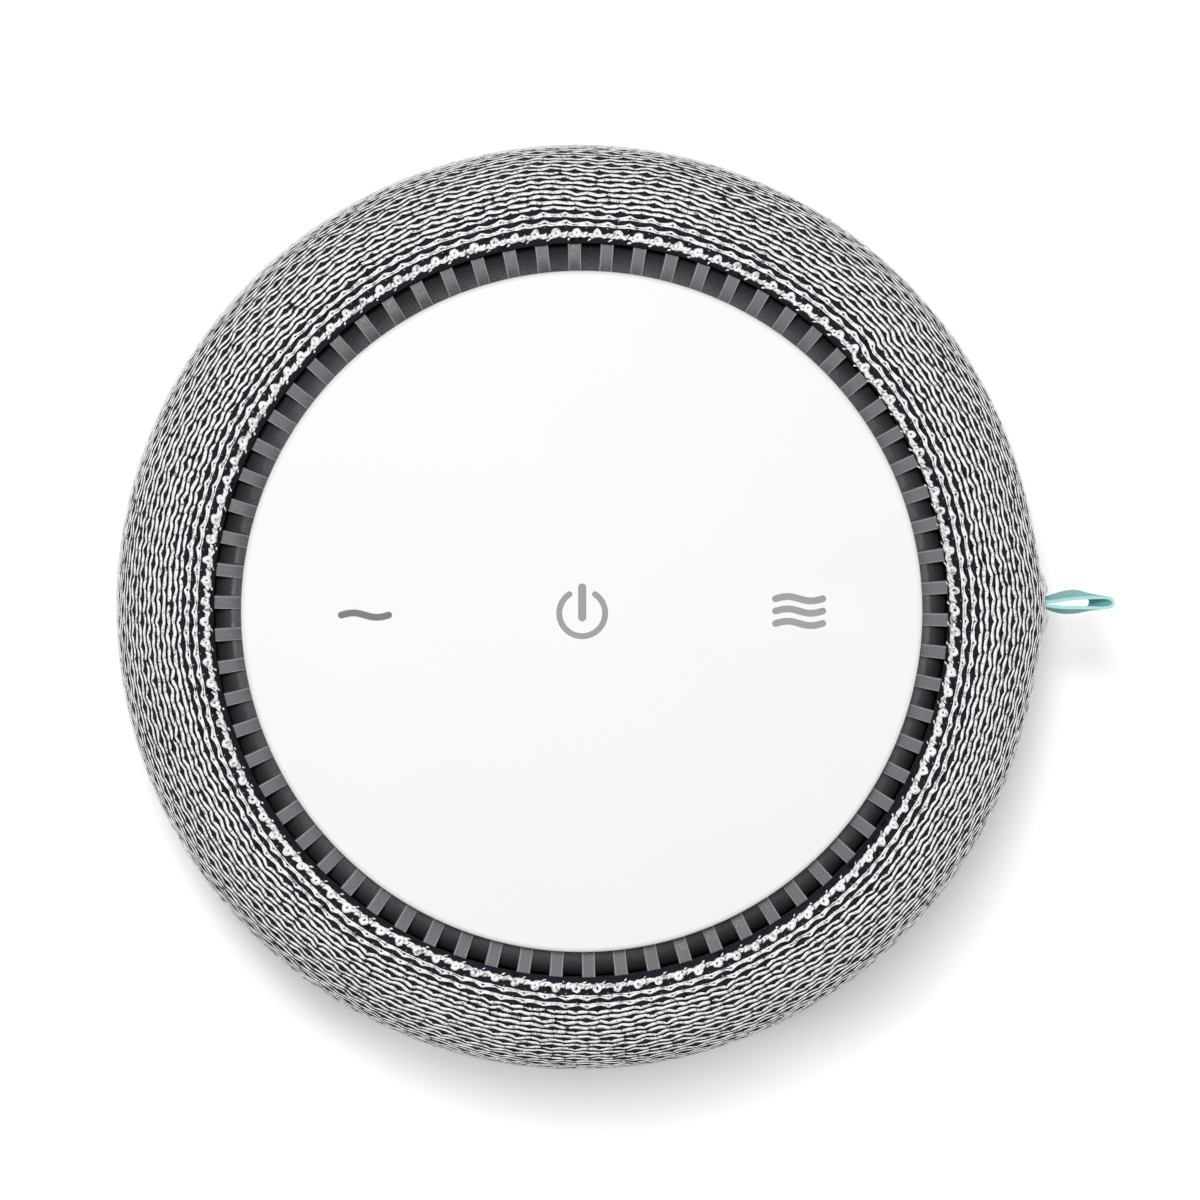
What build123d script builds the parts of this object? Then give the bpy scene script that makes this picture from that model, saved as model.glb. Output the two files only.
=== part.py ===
from build123d import *
from math import atan2, cos, degrees, radians, sin, sqrt
import os

# White noise machine: a small fan in a slotted drum, under a knit-covered
# shell that turns about the drum to open or close its windows.
# Millimetres. +Z up, +X towards the pull loop, origin at the centre of the
# plane it rests on.

# ---- outside form -------------------------------------------------------
body_radius = 71.0          # widest radius over the knit
panel_top = 81.0            # overall height
waist_height = 52.0         # height of the widest radius
panel_step = 3.4            # panel's face above the top of the knit
turn_under_level = 4.4      # lowest level that the knit's curve aims for
upper_side_radius = 200.0   # curve of the side above the waist
shoulder_radius = 14.0
lower_side_radius = 130.0   # curve of the side below the waist
turn_under_radius = 16.0
knit_thickness = 1.3
shell_wall = 2.4

# ---- clearances ---------------------------------------------------------
turn_fit = 0.06             # radial, shell ring on the base hub
glide_gap = 0.1             # axial, shell ring on the base flange
running_gap = 0.5           # radial, between drum and shutter
soft_gap = 0.45             # knitted rim to the vent ring
assembly_gap = 0.1          # between pieces that drop into each other
loose_gap = 0.4             # round a boss that passes a soft or thin piece
hole_gap = 0.05             # screw shank in its hole
shaft_fit = 0.04            # radial, motor shaft in its bush
thrust_gap = 0.05
root = 0.2                  # how far a rib, blade or key reaches into what carries it

# ---- base ---------------------------------------------------------------
floor_gap = 1.2             # base plate above the surface it stands on
base_thickness = 3.6
base_flange = 2.2           # base plate beyond its hub
base_edge_round = 1.0
hub_wall = 3.0
hub_height = 5.2
foot_inset = 1.0            # rubber foot inside the hub's outer face
foot_width = 5.0
foot_height = 2.0
foot_edge_round = 0.6
pocket_half_width = 7.2
pocket_near = 14.0          # inner end of the plug pocket, along +Y
pocket_roof = 14.4
pocket_wall = 1.6
cord_half_width = 3.5

# ---- screws -------------------------------------------------------------
screw_head_height = 1.6
screw_head_round = 0.4      # share of the head's height
base_screw_inset = 2.5      # screw line inside the drum's wall
base_screw_head = 2.5
base_screw_shank = 1.3
base_screw_length = 12.0
base_screw_count = 4
boss_wall = 2.1
boss_cap = 1.0              # solid end of a blind boss
pilot_spare = 1.0           # pilot hole beyond the screw's end
post_wall = 1.4             # round the shell's screws
post_gap = 0.2              # ring's collar to those posts
panel_screw_inset = 7.5     # panel's screw line inside the drum's wall
shell_screw_inset = 1.8     # screw line inside the shell's foot
shell_screw_head = 1.9
shell_screw_shank = 1.0
shell_screw_count = 6
shell_screw_spare = 0.5
shell_head_height = 1.0
board_screw_length = 7.0
lid_screw_length = 9.0

# ---- drum and shutter ---------------------------------------------------
drum_inset = 4.0            # drum's wall inside the hub's outer face
drum_wall = 2.5
drum_flange_height = 2.0
drum_flange_reach = 1.6     # drum's flange beyond the hub
drum_floor_level = 30.0
drum_floor_thickness = 2.4
drum_floor_opening = 17.0
top_space = 12.6            # drum's top to the panel's underside
window_count = 9
window_angle = 20.0
window_rise = 2.0           # windows above the fan's top
shutter_wall = 1.8
shutter_lift = 0.4          # shutter above the drum's flange
shutter_flange_gap = 0.5    # flange to the shell's inside
shutter_flange_height = 2.0
shutter_boss_height = 3.6
shutter_lip_gap = 0.6       # shutter's top edge below the drum's top

# ---- shell and its ring -------------------------------------------------
shell_bottom = 8.0
lip_inset = 0.24            # shell's top bore inside the shoulder's centre
hem_thickness = 0.8
hem_gap = 0.25              # knit's hem to the ring's screws
ring_lip = 0.6              # ring beyond the shell's foot
ring_chamfer = 0.8
collar_wall = 2.0
slot_count = 48
slot_width = 3.0
slot_foot_gap = 4.0         # slots above the shutter's bosses
slot_head_gap = 2.0         # slots below the drum's top
turn_limit = 10.0           # degrees each way
stop_angle = 6.0            # angle that the stop key takes up
stop_clearance = 0.3        # degrees left at each end of the turn
stop_key_height = 1.8
rim_overlap = 0.5           # knitted rim over the shell's lip
rim_drop = 0.1              # rim below the knit's top
rim_round = 0.4

# ---- pull loop ----------------------------------------------------------
loop_reach = 11.0           # how far the loop stands out of the knit
loop_breadth = 3.0
loop_ribbon = 0.75          # ribbon thickness
loop_width = 8.0            # ribbon width, up the side
loop_root_run = 4.0         # from the knit to the loop's full breadth
loop_nose_run = 3.0         # from there to its folded end
loop_eye_length = 7.6
loop_eye_height = 1.1

# ---- top ----------------------------------------------------------------
chassis_thickness = 2.4
intake_count = 8            # air holes through the chassis
intake_circle = 24.0
intake_radius = 5.5
vent_gap = 1.0              # vent ring inside the shell's top bore
vent_width = 3.8            # ribs beyond the panel's edge
vent_inner_wall = 2.0
vent_skirt_wall = 1.6
vent_depth = 2.6            # recess floor below the panel's underside
vent_fall = 3.4             # that floor's fall to the outside
vent_roof = 1.7
rib_count = 70
rib_width = 1.9
rib_rise = 0.1              # ribs above the knit's top, beside the panel
rib_drop = 0.5              # fall of a rib's top from panel to outside
rib_nose_radius = 1.1
rib_root = 0.4              # rib into the recess floor
panel_thickness = 2.4
panel_overhang = 2.7        # panel's edge beyond the vent ring's bore
panel_edge_round = 0.8
panel_skirt_wall = 1.4
panel_skirt_height = 2.2
icon_recess = 0.15
icon_inlay = 1.2
icon_pitch = 32.85          # centre icon to a side icon
low_icon_row = -0.45        # each icon's line, along Y
high_icon_row = 0.1
power_icon_row = -0.2
power_radius = 3.47
power_stroke = 0.9
power_gap_angle = 34.0
power_bar_width = 1.23
power_bar_length = 5.74
power_bar_offset = 1.65
wave_length = 8.2
wave_stroke = 1.04
wave_rise = 0.33
wave_pitch = 1.87

# ---- electrics ----------------------------------------------------------
board_thickness = 1.6
board_side_gap = 15.5       # board's sides to the drum's wall, at the middle
board_end_gap = 22.5        # and its front and back
board_corner = 5.0
board_centre_y = -3.0
board_post_radius = 3.0
board_post_inset = 4.0
touch_board_gap = 1.7
jack_width = 9.0
jack_length = 14.0
jack_nose_radius = 4.0
jack_bore_radius = 2.8
jack_bore_depth = 9.5
jack_pin_radius = 1.05
jack_pin_inset = 1.0        # pin's end inside the jack's mouth
jack_axis_level = 9.4
lead_radius = 0.8
lead_edge = 2.6             # touch lead's foot inside the board's edge
touch_lead_angle = 300.0    # place on the drum's wall, between two windows

# Chips: centre as shares of the board's half sizes, then sides and height.
board_chips = (
    (-0.5, -0.52, 10.0, 10.0, 2.0),
    (-0.05, -0.72, 5.0, 5.0, 1.2),
    (0.57, -0.43, 6.0, 10.0, 4.5),
)
# Capacitors: centre as shares again, then radius and height.
board_cans = ((-0.4, 0.39, 4.0, 9.0), (0.27, 0.3, 3.2, 7.0))

# ---- fan and motor ------------------------------------------------------
arm_count = 3
arm_circle = 27.0
arm_width = 7.0
bracket_thickness = 1.6
bracket_radius = 16.0
grommet_radius = 5.0
grommet_neck = 3.4
grommet_flange = 1.6
bracket_screw_shank = 1.5
bracket_screw_head = 2.8
nut_across_flats = 5.5
nut_height = 2.4
bearing_tube_radius = 5.0
bearing_tube_gap = 2.0      # tube's end below the cup's top
bush_radius = 3.2
shaft_radius = 1.5
thrust_pad_height = 1.0
core_gap = 3.4              # stator above the bracket
core_height = 7.0
core_radius = 13.0
core_hub_radius = 7.0
tooth_count = 9
tooth_width = 2.4
tip_depth = 1.2
tip_gap_angle = 9.0         # between two teeth's tips
coil_side = 1.0             # thickness of a coil beside its tooth
magnet_thickness = 1.0
magnet_air_gap = 0.5
magnet_end_gap = 1.0
cup_wall = 1.0
cup_height = 13.0
cup_gap = 1.4               # rotor cup above the bracket
fan_gap = 5.5               # fan's rim to the drum's wall
fan_lift = 1.0              # fan above the cup's foot
fan_headroom = 4.0          # fan's top below the foam
fan_eye_share = 0.6         # of the fan's radius
fan_disc_thickness = 1.6
fan_hub_wall = 1.8
fan_boss_height = 1.5
blade_count = 23
blade_thickness = 1.1
blade_sweep = 26.0          # degrees that a blade leans back
blade_bow = 0.9             # of the fan's radius
shroud_width = 7.0
foam_thickness = 6.0
foam_width = 15.4

# ---- sizes that follow --------------------------------------------------
# The outside curve is four arcs, each tangent to the next.
knit_top = panel_top - panel_step
shoulder_z = knit_top - shoulder_radius
under_z = turn_under_level + turn_under_radius
upper_centre = body_radius - upper_side_radius
lower_centre = body_radius - lower_side_radius
upper_reach = upper_side_radius - shoulder_radius
lower_reach = lower_side_radius - turn_under_radius
shoulder_r = upper_centre + sqrt(upper_reach**2 - (shoulder_z - waist_height) ** 2)
under_r = lower_centre + sqrt(lower_reach**2 - (waist_height - under_z) ** 2)


def under_edge(level, inset):
    """Radius of the outside curve, moved in by inset, where it turns under."""
    return under_r + sqrt((turn_under_radius - inset) ** 2 - (under_z - level) ** 2)


# From the shell's foot inwards.
foot_edge = under_edge(shell_bottom, knit_thickness)
shell_foot_bore = foot_edge - shell_wall
shell_screw_circle = foot_edge - shell_screw_inset
hem_bore = shell_screw_circle + shell_screw_shank + hole_gap + hem_gap
ring_outer = foot_edge + ring_lip
collar_outer = shell_screw_circle - shell_screw_shank - post_wall - post_gap
hub_outer = collar_outer - collar_wall
base_radius = hub_outer + base_flange
foot_outer = hub_outer - foot_inset
drum_outer = hub_outer - drum_inset
drum_inner = drum_outer - drum_wall
drum_flange_radius = hub_outer + drum_flange_reach
shutter_inner = drum_outer + running_gap
fan_radius = drum_inner - fan_gap
fan_eye_radius = fan_radius * fan_eye_share
shroud_bore = fan_radius - shroud_width
foam_bore = drum_inner - assembly_gap - foam_width
base_screw_circle = drum_inner - base_screw_inset
panel_screw_circle = drum_inner - panel_screw_inset
board_length = 2 * (drum_inner - board_side_gap)
board_depth = 2 * (drum_inner - board_end_gap)
board_post_x = board_length / 2 - board_post_inset
board_post_y = board_depth / 2 - board_post_inset
pocket_side = pocket_half_width + pocket_wall
pocket_far = sqrt((drum_inner - assembly_gap) ** 2 - pocket_side**2) - pocket_wall

# From the shell's lip inwards.
shell_lip_bore = shoulder_r - lip_inset
vent_outer = shell_lip_bore - vent_gap
panel_radius = vent_outer - vent_width
vent_bore = panel_radius - panel_overhang
rim_inner = vent_outer + soft_gap
rim_outer = shell_lip_bore + rim_overlap
skirt_outer = vent_bore - assembly_gap
touch_board_radius = skirt_outer - panel_skirt_wall - touch_board_gap

# From the floor up.
base_top = floor_gap + base_thickness
hub_top = base_top + hub_height
ring_low = base_top + glide_gap
ring_top = shell_bottom - hem_thickness
collar_top = hub_top - 2 * glide_gap
flange_top = hub_top + drum_flange_height
shutter_low = flange_top + shutter_lift
shutter_boss_top = shutter_low + shutter_flange_height + shutter_boss_height
shutter_flange_radius = under_edge(shutter_low, knit_thickness + shell_wall) - shutter_flange_gap
board_level = pocket_roof + pocket_wall
floor_top = drum_floor_level + drum_floor_thickness
bracket_low = floor_top + grommet_flange
bracket_top = bracket_low + bracket_thickness
cup_low = bracket_top + cup_gap
cup_top = cup_low + cup_height
core_low = bracket_top + core_gap
bearing_tube_top = cup_top - bearing_tube_gap
thrust_pad_top = bracket_top + thrust_pad_height
magnet_inner = core_radius + magnet_air_gap
cup_inner = magnet_inner + magnet_thickness
cup_outer = cup_inner + cup_wall
base_screw_seat = floor_gap + screw_head_height + assembly_gap
shell_screw_seat = ring_low + shell_head_height
loop_level = waist_height

# From the panel down.
panel_bottom = panel_top - panel_thickness
drum_top = panel_bottom - top_space
chassis_top = drum_top + chassis_thickness
shutter_top = drum_top - shutter_lip_gap
vent_floor_high = panel_bottom - vent_depth
vent_floor_low = vent_floor_high - vent_fall
rib_top = knit_top + rib_rise
fan_low = cup_low + fan_lift
fan_top = drum_top - foam_thickness - fan_headroom
fan_hub_top = cup_top + assembly_gap + fan_hub_wall
window_low = fan_low
window_high = fan_top + window_rise
slot_low = shutter_boss_top + slot_foot_gap
slot_high = drum_top - slot_head_gap

BOTTOM = (Align.CENTER, Align.CENTER, Align.MIN)


def disc(radius, low, high):
    """Round plate about the centre line."""
    return Pos(0, 0, low) * Cylinder(radius, high - low, align=BOTTOM)


def ring(inner, outer, low, high):
    """Sleeve about the centre line."""
    return disc(outer, low, high) - disc(inner, low - 1, high + 1)


def block(x_low, x_high, y_low, y_high, z_low, z_high):
    """Box between two corners."""
    size = Box(x_high - x_low, y_high - y_low, z_high - z_low)
    return Pos((x_low + x_high) / 2, (y_low + y_high) / 2, (z_low + z_high) / 2) * size


def turned(*points):
    """Solid turned about the centre line from a (radius, height) outline."""
    outline = Plane.XZ * make_face(Polyline(*points, close=True))
    return revolve(outline, Axis.Z)


def around(count, radius, start=0.0):
    """Places on a circle, each with its X axis pointing out."""
    return PolarLocations(radius, count, start_angle=start)


def group(shapes):
    """Several separate solids that share one node."""
    return Compound(children=list(shapes))


def sector(inner, outer, low, high, middle, width):
    """Part of a sleeve, width degrees wide about the angle middle."""
    sweep = CenterArc((0, 0), outer, middle - width / 2, width)
    back = CenterArc((0, 0), inner, middle + width / 2, -width)
    sides = Line(sweep @ 1, back @ 0) + Line(back @ 1, sweep @ 0)
    face = make_face(sweep + back + sides)
    return extrude(Pos(0, 0, low) * face, high - low)


def screw(head_radius, shank_radius, length, head_up=True):
    """Pan-head screw, its head's seat at z 0."""
    head = Cylinder(head_radius, screw_head_height, align=BOTTOM)
    head = fillet(head.edges().group_by(Axis.Z)[-1], screw_head_height * screw_head_round)
    shank = Pos(0, 0, -length) * Cylinder(shank_radius, length, align=BOTTOM)
    body = head + shank
    return body if head_up else Rot(180, 0, 0) * body


# ---- the outside curve --------------------------------------------------
def envelope(inset):
    """Solid inside the outside curve, moved in by inset all over."""
    lean = degrees(atan2(shoulder_z - waist_height, shoulder_r - upper_centre))
    tuck = degrees(atan2(under_z - waist_height, under_r - lower_centre))
    side_upper = (upper_centre, waist_height)
    side_lower = (lower_centre, waist_height)
    under = CenterArc((under_r, under_z), turn_under_radius - inset, -90, 90 + tuck)
    lower = CenterArc(side_lower, lower_side_radius - inset, tuck, -tuck)
    upper = CenterArc(side_upper, upper_side_radius - inset, 0, lean)
    shoulder = CenterArc((shoulder_r, shoulder_z), shoulder_radius - inset, lean, 90 - lean)
    top = (0, knit_top - inset)
    bottom = (0, turn_under_level + inset)
    closing = Polyline(shoulder @ 1, top, bottom, under @ 0)
    outline = make_face(under + lower + upper + shoulder + closing)
    return revolve(Plane.XZ * outline, Axis.Z)


# ---- base ---------------------------------------------------------------
def plug_space():
    """Pocket for the plug and the channel that its cord leaves by."""
    pocket = block(-pocket_half_width, pocket_half_width, pocket_near, pocket_far, 0, pocket_roof)
    channel = block(-cord_half_width, cord_half_width, pocket_far - 1, body_radius, 0, base_top)
    return pocket + channel


def foot_ring():
    foot = ring(foot_outer - foot_width, foot_outer, 0, foot_height)
    foot = fillet(foot.edges().group_by(Axis.Z)[0], foot_edge_round)
    channel = block(-cord_half_width, cord_half_width, 0, body_radius, -1, base_top)
    return foot - channel


def board_posts():
    for x in (-board_post_x, board_post_x):
        for y in (-board_post_y, board_post_y):
            yield Pos(x, board_centre_y + y, 0)


def base_plate():
    plate = disc(base_radius, floor_gap, base_top)
    plate = fillet(plate.edges().group_by(Axis.Z)[0], base_edge_round)
    plate += ring(hub_outer - hub_wall, hub_outer, base_top, hub_top)
    groove = ring(
        foot_outer - foot_width - assembly_gap, foot_outer + assembly_gap, 0, foot_height
    )
    plate -= groove
    plate += block(
        -pocket_side, pocket_side, pocket_near - pocket_wall, pocket_far + pocket_wall,
        base_top, board_level,
    )
    plate -= plug_space()
    nose = Pos(0, pocket_near, jack_axis_level) * Rot(90, 0, 0) * Cylinder(
        jack_nose_radius + assembly_gap, 3 * pocket_wall
    )
    plate -= nose
    for place in board_posts():
        plate += place * disc(board_post_radius, base_top, board_level)
        plate -= place * disc(
            base_screw_shank + hole_gap, board_level - board_screw_length, board_level
        )
    for place in around(base_screw_count, base_screw_circle, 45):
        plate -= place * disc(base_screw_shank + hole_gap, 0, base_top)
        plate -= place * disc(base_screw_head + assembly_gap, 0, base_screw_seat)
    return plate


def base_screws():
    body = screw(base_screw_head, base_screw_shank, base_screw_length, False)
    body = Pos(0, 0, base_screw_seat) * body
    return group(place * body for place in around(base_screw_count, base_screw_circle, 45))


# ---- drum ---------------------------------------------------------------
def window_cutters(inner, outer, middle):
    """The fan's windows, cut through a sleeve of either piece."""
    pitch = 360 / window_count
    for index in range(window_count):
        angle = middle + index * pitch
        yield sector(inner - 1, outer + 1, window_low, window_high, angle, window_angle)


def grommet_places():
    return around(arm_count, arm_circle, 90)


def lead_notch(low, high):
    """Way for the touch lead along the drum's wall."""
    return touch_lead_place() * disc(2 * lead_radius, low, high)


def touch_lead_place():
    radius = drum_inner - 2.5 * lead_radius
    return Rot(0, 0, touch_lead_angle) * Pos(radius, 0, 0)


def acoustic_drum():
    drum = ring(drum_inner, drum_outer, hub_top, drum_top)
    drum += ring(drum_inner, drum_flange_radius, hub_top, flange_top)
    drum += disc(drum_inner + root, drum_floor_level, floor_top)
    boss = base_screw_shank + boss_wall
    for place in around(base_screw_count, base_screw_circle, 45):
        drum += place * disc(boss, base_top, base_screw_seat + base_screw_length + boss_wall)
        drum -= place * disc(
            base_screw_shank + hole_gap, 0, base_screw_seat + base_screw_length + pilot_spare
        )
    for place in around(base_screw_count, base_screw_circle, 0):
        drum += place * disc(boss, window_high + loose_gap, drum_top)
        drum -= place * disc(base_screw_shank + hole_gap, drum_top - lid_screw_length, drum_top)
    # The hub carries the drum by its flange; the space under it stays free.
    drum -= disc(drum_floor_opening, drum_floor_level - 1, floor_top + 1)
    for place in grommet_places():
        drum -= place * disc(grommet_neck, drum_floor_level - 1, floor_top + 1)
    for cutter in window_cutters(drum_inner, drum_outer, 0):
        drum -= cutter
    drum -= lead_notch(drum_floor_level - 1, floor_top + 1)
    # Arc notch in the flange that the shell's stop key runs in.
    travel = 2 * (turn_limit + stop_clearance) + stop_angle
    key_inner = hub_outer + turn_fit
    drum -= sector(
        key_inner - loose_gap, drum_flange_radius + 1, hub_top - 1, flange_top + 1, 180, travel
    )
    return drum


def acoustic_foam():
    foam = ring(foam_bore, drum_inner - assembly_gap, drum_top - foam_thickness, drum_top)
    boss = base_screw_shank + boss_wall + loose_gap
    for place in around(base_screw_count, base_screw_circle, 0):
        foam -= place * disc(boss, 0, panel_top)
    for place in around(base_screw_count, panel_screw_circle, 45):
        foam -= place * disc(base_screw_head + loose_gap, 0, panel_top)
    return foam - lead_notch(0, panel_top)


# ---- electrics ----------------------------------------------------------
def main_board():
    board = Pos(0, board_centre_y, board_level) * Box(
        board_length, board_depth, board_thickness, align=BOTTOM
    )
    board = chamfer(board.edges().filter_by(Axis.Z), board_corner)
    for place in board_posts():
        board -= place * disc(base_screw_shank + hole_gap, 0, board_level + 2 * board_thickness)
    top = board_level + board_thickness
    for share_x, share_y, width, depth, height in board_chips:
        middle = Pos(share_x * board_length / 2, board_centre_y + share_y * board_depth / 2, top)
        board += middle * Box(width, depth, height, align=BOTTOM)
    for share_x, share_y, radius, height in board_cans:
        middle = Pos(share_x * board_length / 2, board_centre_y + share_y * board_depth / 2, top)
        board += middle * Cylinder(radius, height, align=BOTTOM)
    return board


def board_screws():
    top = board_level + board_thickness
    body = screw(base_screw_head, base_screw_shank, board_screw_length)
    return group(place * Pos(0, 0, top) * body for place in board_posts())


def dc_jack():
    low = base_top + 2 * assembly_gap
    back = pocket_near - pocket_wall
    half = jack_width / 2
    body = block(-half, half, back - jack_length, back, low, board_level)
    along = Pos(0, pocket_near, jack_axis_level) * Rot(90, 0, 0)
    nose = along * Cylinder(jack_nose_radius, pocket_wall + 1, align=BOTTOM)
    bore = along * Cylinder(jack_bore_radius, jack_bore_depth, align=BOTTOM)
    return body + nose - bore


def jack_pin():
    """Centre contact of the jack, rooted in the end of its bore."""
    along = Pos(0, pocket_near - jack_pin_inset, jack_axis_level) * Rot(90, 0, 0)
    pin = along * Cylinder(jack_pin_radius, jack_bore_depth - jack_pin_inset, align=BOTTOM)
    return fillet(pin.edges().group_by(Axis.Y)[-1], jack_pin_radius * 0.5)


def touch_board():
    board = disc(touch_board_radius, panel_bottom - board_thickness, panel_bottom)
    hole = base_screw_shank + boss_wall + loose_gap
    for place in around(base_screw_count, panel_screw_circle, 45):
        board -= place * disc(hole, 0, panel_top)
    return board


def lead(points, radii):
    """Round lead along straight runs and tangent arcs."""
    path = FilletPolyline(*points, radius=radii)
    start = Plane(origin=path @ 0, z_dir=path % 0)
    return sweep(start * Circle(lead_radius), path=path)


def touch_lead():
    place = touch_lead_place()
    foot = place.position
    low = board_level + board_thickness
    reach = (board_centre_y - board_depth / 2 + lead_edge) / foot.Y
    points = [
        (foot.X * reach, foot.Y * reach, low),
        (foot.X * reach, foot.Y * reach, low + 5),
        (foot.X, foot.Y, low + 11),
        (foot.X, foot.Y, panel_bottom - board_thickness),
    ]
    return lead(points, [2.2, 2.6])


def motor_lead():
    x = bearing_tube_radius + 3
    top = bracket_low
    low = board_level + board_thickness
    points = [
        (x, 0, top),
        (x, 0, (top + low) / 2 + 2),
        (x - 3, -6, (top + low) / 2 - 2),
        (x - 3, -6, low),
    ]
    return lead(points, [3.0, 3.0])


# ---- motor --------------------------------------------------------------
def isolation_grommets():
    hole = bracket_screw_shank + hole_gap
    low = drum_floor_level - grommet_flange
    body = turned(
        (hole, low), (grommet_radius, low), (grommet_radius, drum_floor_level),
        (grommet_neck, drum_floor_level), (grommet_neck, floor_top),
        (grommet_radius, floor_top), (grommet_radius, bracket_low), (hole, bracket_low),
    )
    return group(place * body for place in grommet_places())


def motor_bracket():
    bracket = disc(bracket_radius, bracket_low, bracket_top)
    for place in grommet_places():
        arm = Pos(-arm_circle / 2, 0, bracket_low) * Box(
            arm_circle, arm_width, bracket_thickness, align=BOTTOM
        )
        bracket += place * (arm + disc(grommet_radius, bracket_low, bracket_top))
        bracket -= place * disc(bracket_screw_shank + hole_gap, 0, bracket_top + 1)
    bracket += disc(bearing_tube_radius, bracket_top, bearing_tube_top)
    bracket -= disc(bush_radius, bracket_top, bearing_tube_top + 1)
    return bracket


def bracket_screws():
    length = bracket_top - drum_floor_level + grommet_flange + nut_height
    body = Pos(0, 0, bracket_top) * screw(bracket_screw_head, bracket_screw_shank, length)
    return group(place * body for place in grommet_places())


def bracket_nuts():
    top = drum_floor_level - grommet_flange
    outline = RegularPolygon(nut_across_flats / 2, 6, major_radius=False)
    nut = extrude(Pos(0, 0, top - nut_height) * outline, nut_height)
    nut -= disc(bracket_screw_shank + hole_gap, 0, drum_top)
    return group(place * nut for place in grommet_places())


def motor_bush():
    return ring(shaft_radius + shaft_fit, bush_radius, thrust_pad_top, bearing_tube_top)


def thrust_pad():
    return disc(bush_radius, bracket_top, thrust_pad_top)


def motor_core():
    """Laminated star: a hub, straight teeth and wide tips."""
    core_top = core_low + core_height
    core = ring(bearing_tube_radius, core_hub_radius, core_low, core_top)
    tip_angle = 360 / tooth_count - tip_gap_angle
    reach = core_radius - tip_depth - core_hub_radius + 2 * root
    for index in range(tooth_count):
        angle = index * 360 / tooth_count
        tooth = Pos(core_hub_radius - root, 0, core_low) * Box(
            reach, tooth_width, core_height, align=(Align.MIN, Align.CENTER, Align.MIN)
        )
        core += Rot(0, 0, angle) * tooth
        core += sector(core_radius - tip_depth, core_radius, core_low, core_top, angle, tip_angle)
    return core


def motor_windings():
    """One coil round each tooth."""
    coils = []
    side = coil_side
    half = tooth_width / 2 + side
    start = core_hub_radius + assembly_gap
    long = sqrt((core_radius - tip_depth) ** 2 - half**2) - assembly_gap - start
    for place in around(tooth_count, start):
        outer = Pos(0, 0, core_low - side) * Box(
            long, tooth_width + 2 * side, core_height + 2 * side,
            align=(Align.MIN, Align.CENTER, Align.MIN),
        )
        outer = fillet(outer.edges().filter_by(Axis.X), side * 0.8)
        tooth = Pos(-1, 0, core_low) * Box(
            long + 2, tooth_width, core_height, align=(Align.MIN, Align.CENTER, Align.MIN)
        )
        coils.append(place * (outer - tooth))
    return group(coils)


# ---- fan ----------------------------------------------------------------
def motor_shaft():
    shaft_top = fan_hub_top + fan_boss_height + loose_gap
    shaft = disc(shaft_radius, thrust_pad_top + thrust_gap, shaft_top)
    return chamfer(shaft.edges().group_by(Axis.Z)[-1], 0.3)


def rotor_cup():
    cup = ring(cup_inner, cup_outer, cup_low, cup_top)
    cup += ring(shaft_radius, cup_outer, cup_top - cup_wall, cup_top)
    return fillet(cup.edges().group_by(Axis.Z)[-1].sort_by(SortBy.RADIUS)[-1], cup_wall * 0.8)


def rotor_magnet():
    return ring(magnet_inner, cup_inner, cup_low + loose_gap, cup_top - cup_wall - magnet_end_gap)


def blade(low, high):
    """Backward-leaning blade, thin and bowed, from the eye to the rim."""
    root = Vector(fan_eye_radius, 0)
    tip_radius = fan_radius - blade_thickness
    tip = Vector(tip_radius * cos(radians(blade_sweep)), tip_radius * sin(radians(blade_sweep)))
    bow = RadiusArc((root.X, root.Y), (tip.X, tip.Y), blade_bow * fan_radius)
    return extrude(Pos(0, 0, low) * SlotArc(bow, blade_thickness), high - low)


def fan_impeller():
    hub_inner = cup_outer + assembly_gap
    hub_outer_radius = hub_inner + fan_hub_wall
    disc_top = fan_low + fan_disc_thickness
    fan = ring(hub_inner, hub_outer_radius, fan_low, fan_hub_top)
    fan += ring(shaft_radius, hub_outer_radius, cup_top + assembly_gap, fan_hub_top)
    fan += ring(shaft_radius, 2.5 * shaft_radius, fan_hub_top, fan_hub_top + fan_boss_height)
    fan += ring(hub_inner, fan_radius, fan_low, disc_top)
    fan += ring(shroud_bore, fan_radius, fan_top - fan_disc_thickness, fan_top)
    for index in range(blade_count):
        turn = Rot(0, 0, index * 360 / blade_count)
        fan += turn * blade(disc_top - root, fan_top - fan_disc_thickness + root)
    return fan


# ---- turning shell ------------------------------------------------------
def shell_base_ring():
    body = ring(hub_outer + turn_fit, ring_outer, ring_low, ring_top)
    body = chamfer(body.edges().group_by(Axis.Z)[0].sort_by(SortBy.RADIUS)[-1], ring_chamfer)
    body += ring(hub_outer + turn_fit, collar_outer, ring_top, collar_top)
    body += sector(
        hub_outer + turn_fit, collar_outer, collar_top - root, collar_top + stop_key_height,
        180, stop_angle,
    )
    for place in around(shell_screw_count, shell_screw_circle, 30):
        body -= place * disc(shell_screw_shank + hole_gap, 0, shell_bottom)
        body -= place * disc(shell_screw_head + assembly_gap, 0, shell_screw_seat)
    return body


def shell_bosses(outer_limit):
    """Posts at the shell's foot that the ring's screws pass through."""
    posts = []
    for place in around(shell_screw_count, shell_screw_circle, 30):
        post = place * disc(shell_screw_shank + post_wall, shell_bottom, shutter_low)
        posts.append(post & outer_limit)
    return posts


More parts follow.
